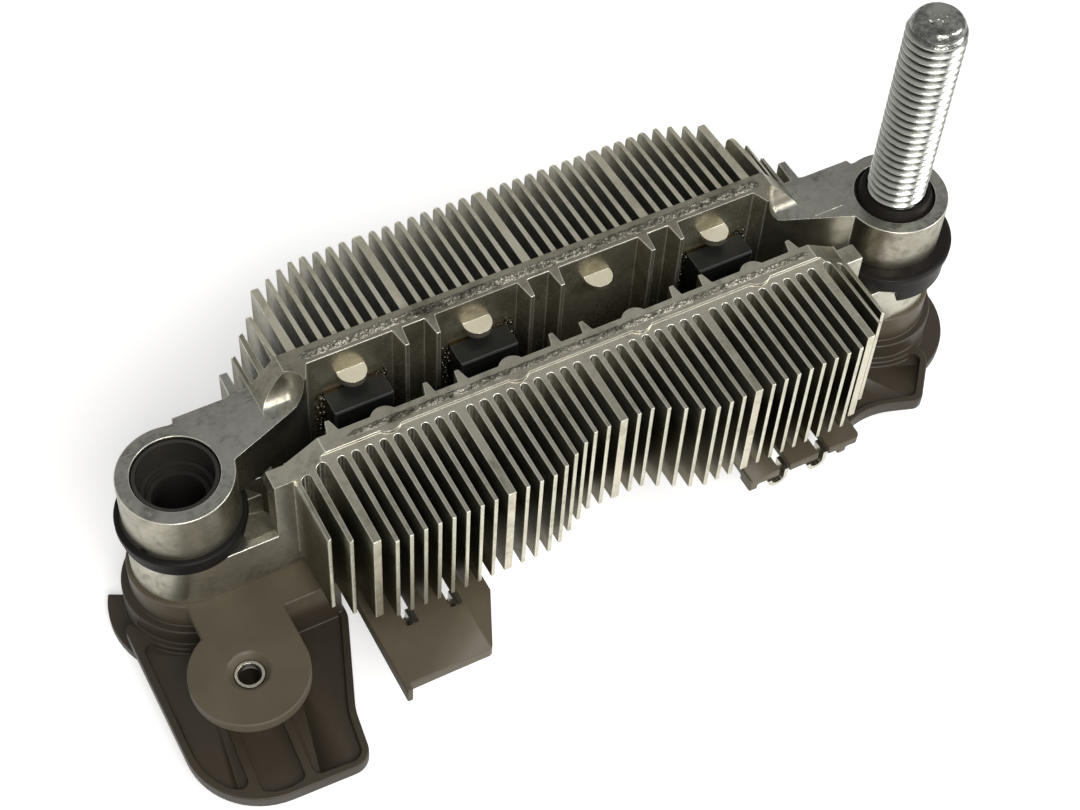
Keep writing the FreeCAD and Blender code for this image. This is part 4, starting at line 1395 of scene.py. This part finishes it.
@dataclass(frozen=True)
class PhotoCamera:
    """The camera, placed about the middle of the two boss axes at the bosses' top."""

    offset: Place = (-0.0896, -0.14436, 0.21329)
    right: Place = (0.88217961, -0.46888637, 0.04364292)
    down: Place = (-0.35552842, -0.72393188, -0.59120401)
    forward: Place = (0.308802, 0.50603183, -0.80534037)
    lens: float = 71.21
    sensor: float = 36.0
    deck: float = 0.0295
    clip: Span = (0.005, 10.0)

    def build(self) -> Piece:
        """Add the camera at the photograph's viewing angle.

        Returns:
            The camera object.
        """
        data = bpy.data.cameras.new("photo_camera")
        data.lens = self.lens
        data.sensor_width = self.sensor
        data.sensor_fit = "HORIZONTAL"
        data.clip_start, data.clip_end = self.clip
        made = add_object("photo_camera", data)
        turn = Matrix((self.right, -Vector(self.down), -Vector(self.forward))).transposed()
        place = origin() + Vector((0.0, 0.0, self.deck)) + Vector(self.offset)
        made.matrix_world = Matrix.Translation(place) @ turn.to_4x4()
        bpy.context.scene.camera = made
        return made


@dataclass(frozen=True)
class Lamp:
    """An area lamp aimed at a point."""

    name: str
    place: Place
    aim: Place
    size: Span
    watts: float
    colour: Colour = WHITE

    def build(self) -> Piece:
        """Add the lamp.

        Returns:
            The lamp object.
        """
        data = bpy.data.lights.new(self.name, "AREA")
        data.shape = "RECTANGLE"
        data.size, data.size_y = self.size
        data.energy = self.watts
        data.color = self.colour
        made = add_object(self.name, data)
        made.location = self.place
        aim = Vector(self.aim) - Vector(self.place)
        made.rotation_euler = aim.to_track_quat("-Z", "Y").to_euler()
        return made


@dataclass
class Studio:
    """Pale floor, soft world and lamps."""

    floor_colour: Colour = (0.86, 0.86, 0.855)
    floor_rough: float = 0.9
    floor_gloss: float = 0.1
    floor_glow: float = 0.42
    mirrored_share: float = 0.4
    far_glow: float = 0.26
    far_range: Span = (0.16, 0.7)
    world_colour: Colour = (1.0, 0.99, 0.965)
    world_strength: float = 0.4
    half_width: float = 1.6
    lamps: list[Lamp] = field(default_factory=lambda: [
        Lamp("key", place=(-0.12, -0.62, 0.62), aim=(0.0, 0.0, 0.0), size=(0.45, 0.45), watts=5.4,
             colour=(1.0, 0.99, 0.97)),
        Lamp("fill", place=(0.6, -0.42, 0.5), aim=(0.0, 0.0, 0.02), size=(0.4, 0.4), watts=3.2),
    ])

    def build(self) -> None:
        """Add floor, world and lamps, and set the colour view."""
        self._floor()
        self._world()
        for lamp in self.lamps:
            lamp.build()
        bpy.context.scene.view_settings.view_transform = "Standard"

    def _floor(self) -> None:
        """Add a floor that looks white to the camera and to metal, and keeps the shadow."""
        surface = SurfaceTree("floor_paper")
        surface.give("Base Color", rgba(self.floor_colour))
        surface.give("Roughness", self.floor_rough)
        surface.give("Specular IOR Level", self.floor_gloss)
        surface.give("Emission Color", rgba(WHITE))
        rays = surface.node("ShaderNodeLightPath").outputs
        mirrored = surface.math("MULTIPLY", rays["Is Glossy Ray"], self.mirrored_share)
        through = surface.math("MAXIMUM", mirrored, rays["Is Transmission Ray"])
        seen = surface.math("MAXIMUM", rays["Is Camera Ray"], through)
        distance = surface.node("ShaderNodeVectorMath", operation="LENGTH")
        surface.feed(distance.inputs[0], surface.where)
        far = surface.ramp(distance.outputs["Value"], self.far_range, (0.0, self.far_glow))
        glow = surface.math("MULTIPLY", seen, self.floor_glow)
        surface.give("Emission Strength",
                     surface.math("MULTIPLY_ADD", rays["Is Camera Ray"], far, glow))
        work = bmesh.new()
        bmesh.ops.create_grid(work, x_segments=1, y_segments=1, size=self.half_width)
        add_mesh("floor", work, surface.material)

    def _world(self) -> None:
        """Light softly from a plain world that looks white to the camera."""
        world = bpy.data.worlds.new("studio")
        world.use_nodes = True
        shader = Shader(world.node_tree)
        camera = shader.node("ShaderNodeLightPath").outputs["Is Camera Ray"]
        soft = shader.node("ShaderNodeBackground",
                           Color=shader.mix(camera, self.world_colour, WHITE),
                           Strength=shader.math("MAXIMUM", camera, self.world_strength))
        shader.node("ShaderNodeOutputWorld", Surface=soft.outputs[0])
        bpy.context.scene.world = world


# The rectifier


def dress_plain_nodes(palette: Palette) -> None:
    """Give the carried CAD nodes their finishes.

    Args:
        palette: Where the materials come from.
    """
    by_slot = {"plated_copper": Finish.COPPER, "tinned_metal": Finish.TIN}
    for entry in frame["record"]["subparts"]:
        finish = by_slot.get(entry["material_slot"])
        if finish is not None:
            data = frame["nodes"][entry["node"]].data
            data.materials.clear()
            data.materials.append(palette.get(finish))


def soft_edged_nodes() -> list[SoftEdgedNode]:
    """List the CAD nodes that are redrawn with rounded edges.

    Returns:
        One entry per node.
    """
    any_way = -1.1
    # The pads' faces take a bright finish that is a painted sheen.
    pads = Region(low=(-30.0, 3.0, 29.4), high=(30.0, 5.35, 29.6))
    deck = Region(low=(-70.0, -20.0, 29.4), high=(70.0, 20.0, 29.7))
    pockets = Region(low=(-33.0, 1.8, 13.0), high=(33.0, 5.5, 33.3))
    # The rear fins' tops and the front fins' tips take a lighter finish as painted light.
    rear_tops = Region(low=(-45.0, 8.4, 26.0), high=(45.0, 25.0, 35.0))
    front_tips = Region(low=(-45.0, -24.0, 12.0), high=(45.0, -13.0, 31.0))
    # The left bush's mouth takes a lighter finish as painted light.
    mouth = Region(low=(-57.0, -5.0, 18.0), high=(-47.0, 5.0, 29.2))
    rear_rules = (FaceRule(Finish.PAD_FACE_SHEEN, pads), FaceRule(Finish.FACED_DECK, deck),
                  FaceRule(Finish.POCKET_WALL, pockets, at_least=any_way),
                  FaceRule(Finish.FIN_TIP_LIT, rear_tops, at_least=0.5))
    front_rules = (FaceRule(Finish.FIN_TIP_LIT, front_tips, toward=(0.0, -1.0, 0.0), at_least=0.5),)
    mouth_rules = (FaceRule(Finish.BUSH_MOUTH_LIT, mouth, at_least=any_way),)
    made = [
        SoftEdgedNode("positive_heat_sink", "cast_aluminium_rear", Finish.REAR_SINK,
                      Finish.RUBBED_EDGE_HIGHLIGHT, face_rules=rear_rules),
        SoftEdgedNode("negative_heat_sink", "cast_aluminium_front", Finish.FRONT_SINK,
                      Finish.RUBBED_EDGE_HIGHLIGHT, face_rules=front_rules),
        SoftEdgedNode("terminal_board", "moulded_board", Finish.BOARD, edge_width=0.00022,
                      segments=3, shortest=0.00018, keep_room=False),
        SoftEdgedNode("insulating_bush_left", "bush_plastic", Finish.BUSH, edge_width=0.0002,
                      segments=3, face_rules=mouth_rules),
        SoftEdgedNode("insulating_bush_right", "bush_plastic", Finish.BUSH, edge_width=0.0002,
                      segments=3),
        SoftEdgedNode("tongue_eyelet", "tinned_metal", Finish.TIN, edge_width=0.00014, segments=3),
    ]
    return made + [SoftEdgedNode(f"{side}_diode_{k}", "diode_moulding", Finish.DIODE,
                                 Finish.DIODE_EDGE_HIGHLIGHT, edge_width=0.0001, edge_angle=20.0)
                   for side in ("positive", "negative") for k in (1, 2, 3)]


def main() -> None:
    """Build the rectifier's looks in order and log each piece."""
    logging.basicConfig(level=logging.INFO, format="%(name)s: %(message)s")
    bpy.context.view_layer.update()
    PhotoCamera().build()
    Studio().build()
    palette = Palette()
    dress_plain_nodes(palette)
    for piece in soft_edged_nodes():
        piece.build(palette)
    ThreadedStud().build(palette)
    ChippedLine("rear_chipped_line", "cast_aluminium_rear", start=-33.0, end=34.0, middle=6.5,
                top=33.6, half_width=0.66, height=0.3, seed=3.7).build(palette)
    ChippedLine("front_chipped_line", "cast_aluminium_front", start=-31.8, end=35.0, middle=-5.4,
                top=31.5, half_width=0.5, height=0.26, seed=11.3).build(palette)
    ResinBeads().build(palette)


if __name__ == "__main__":
    main()
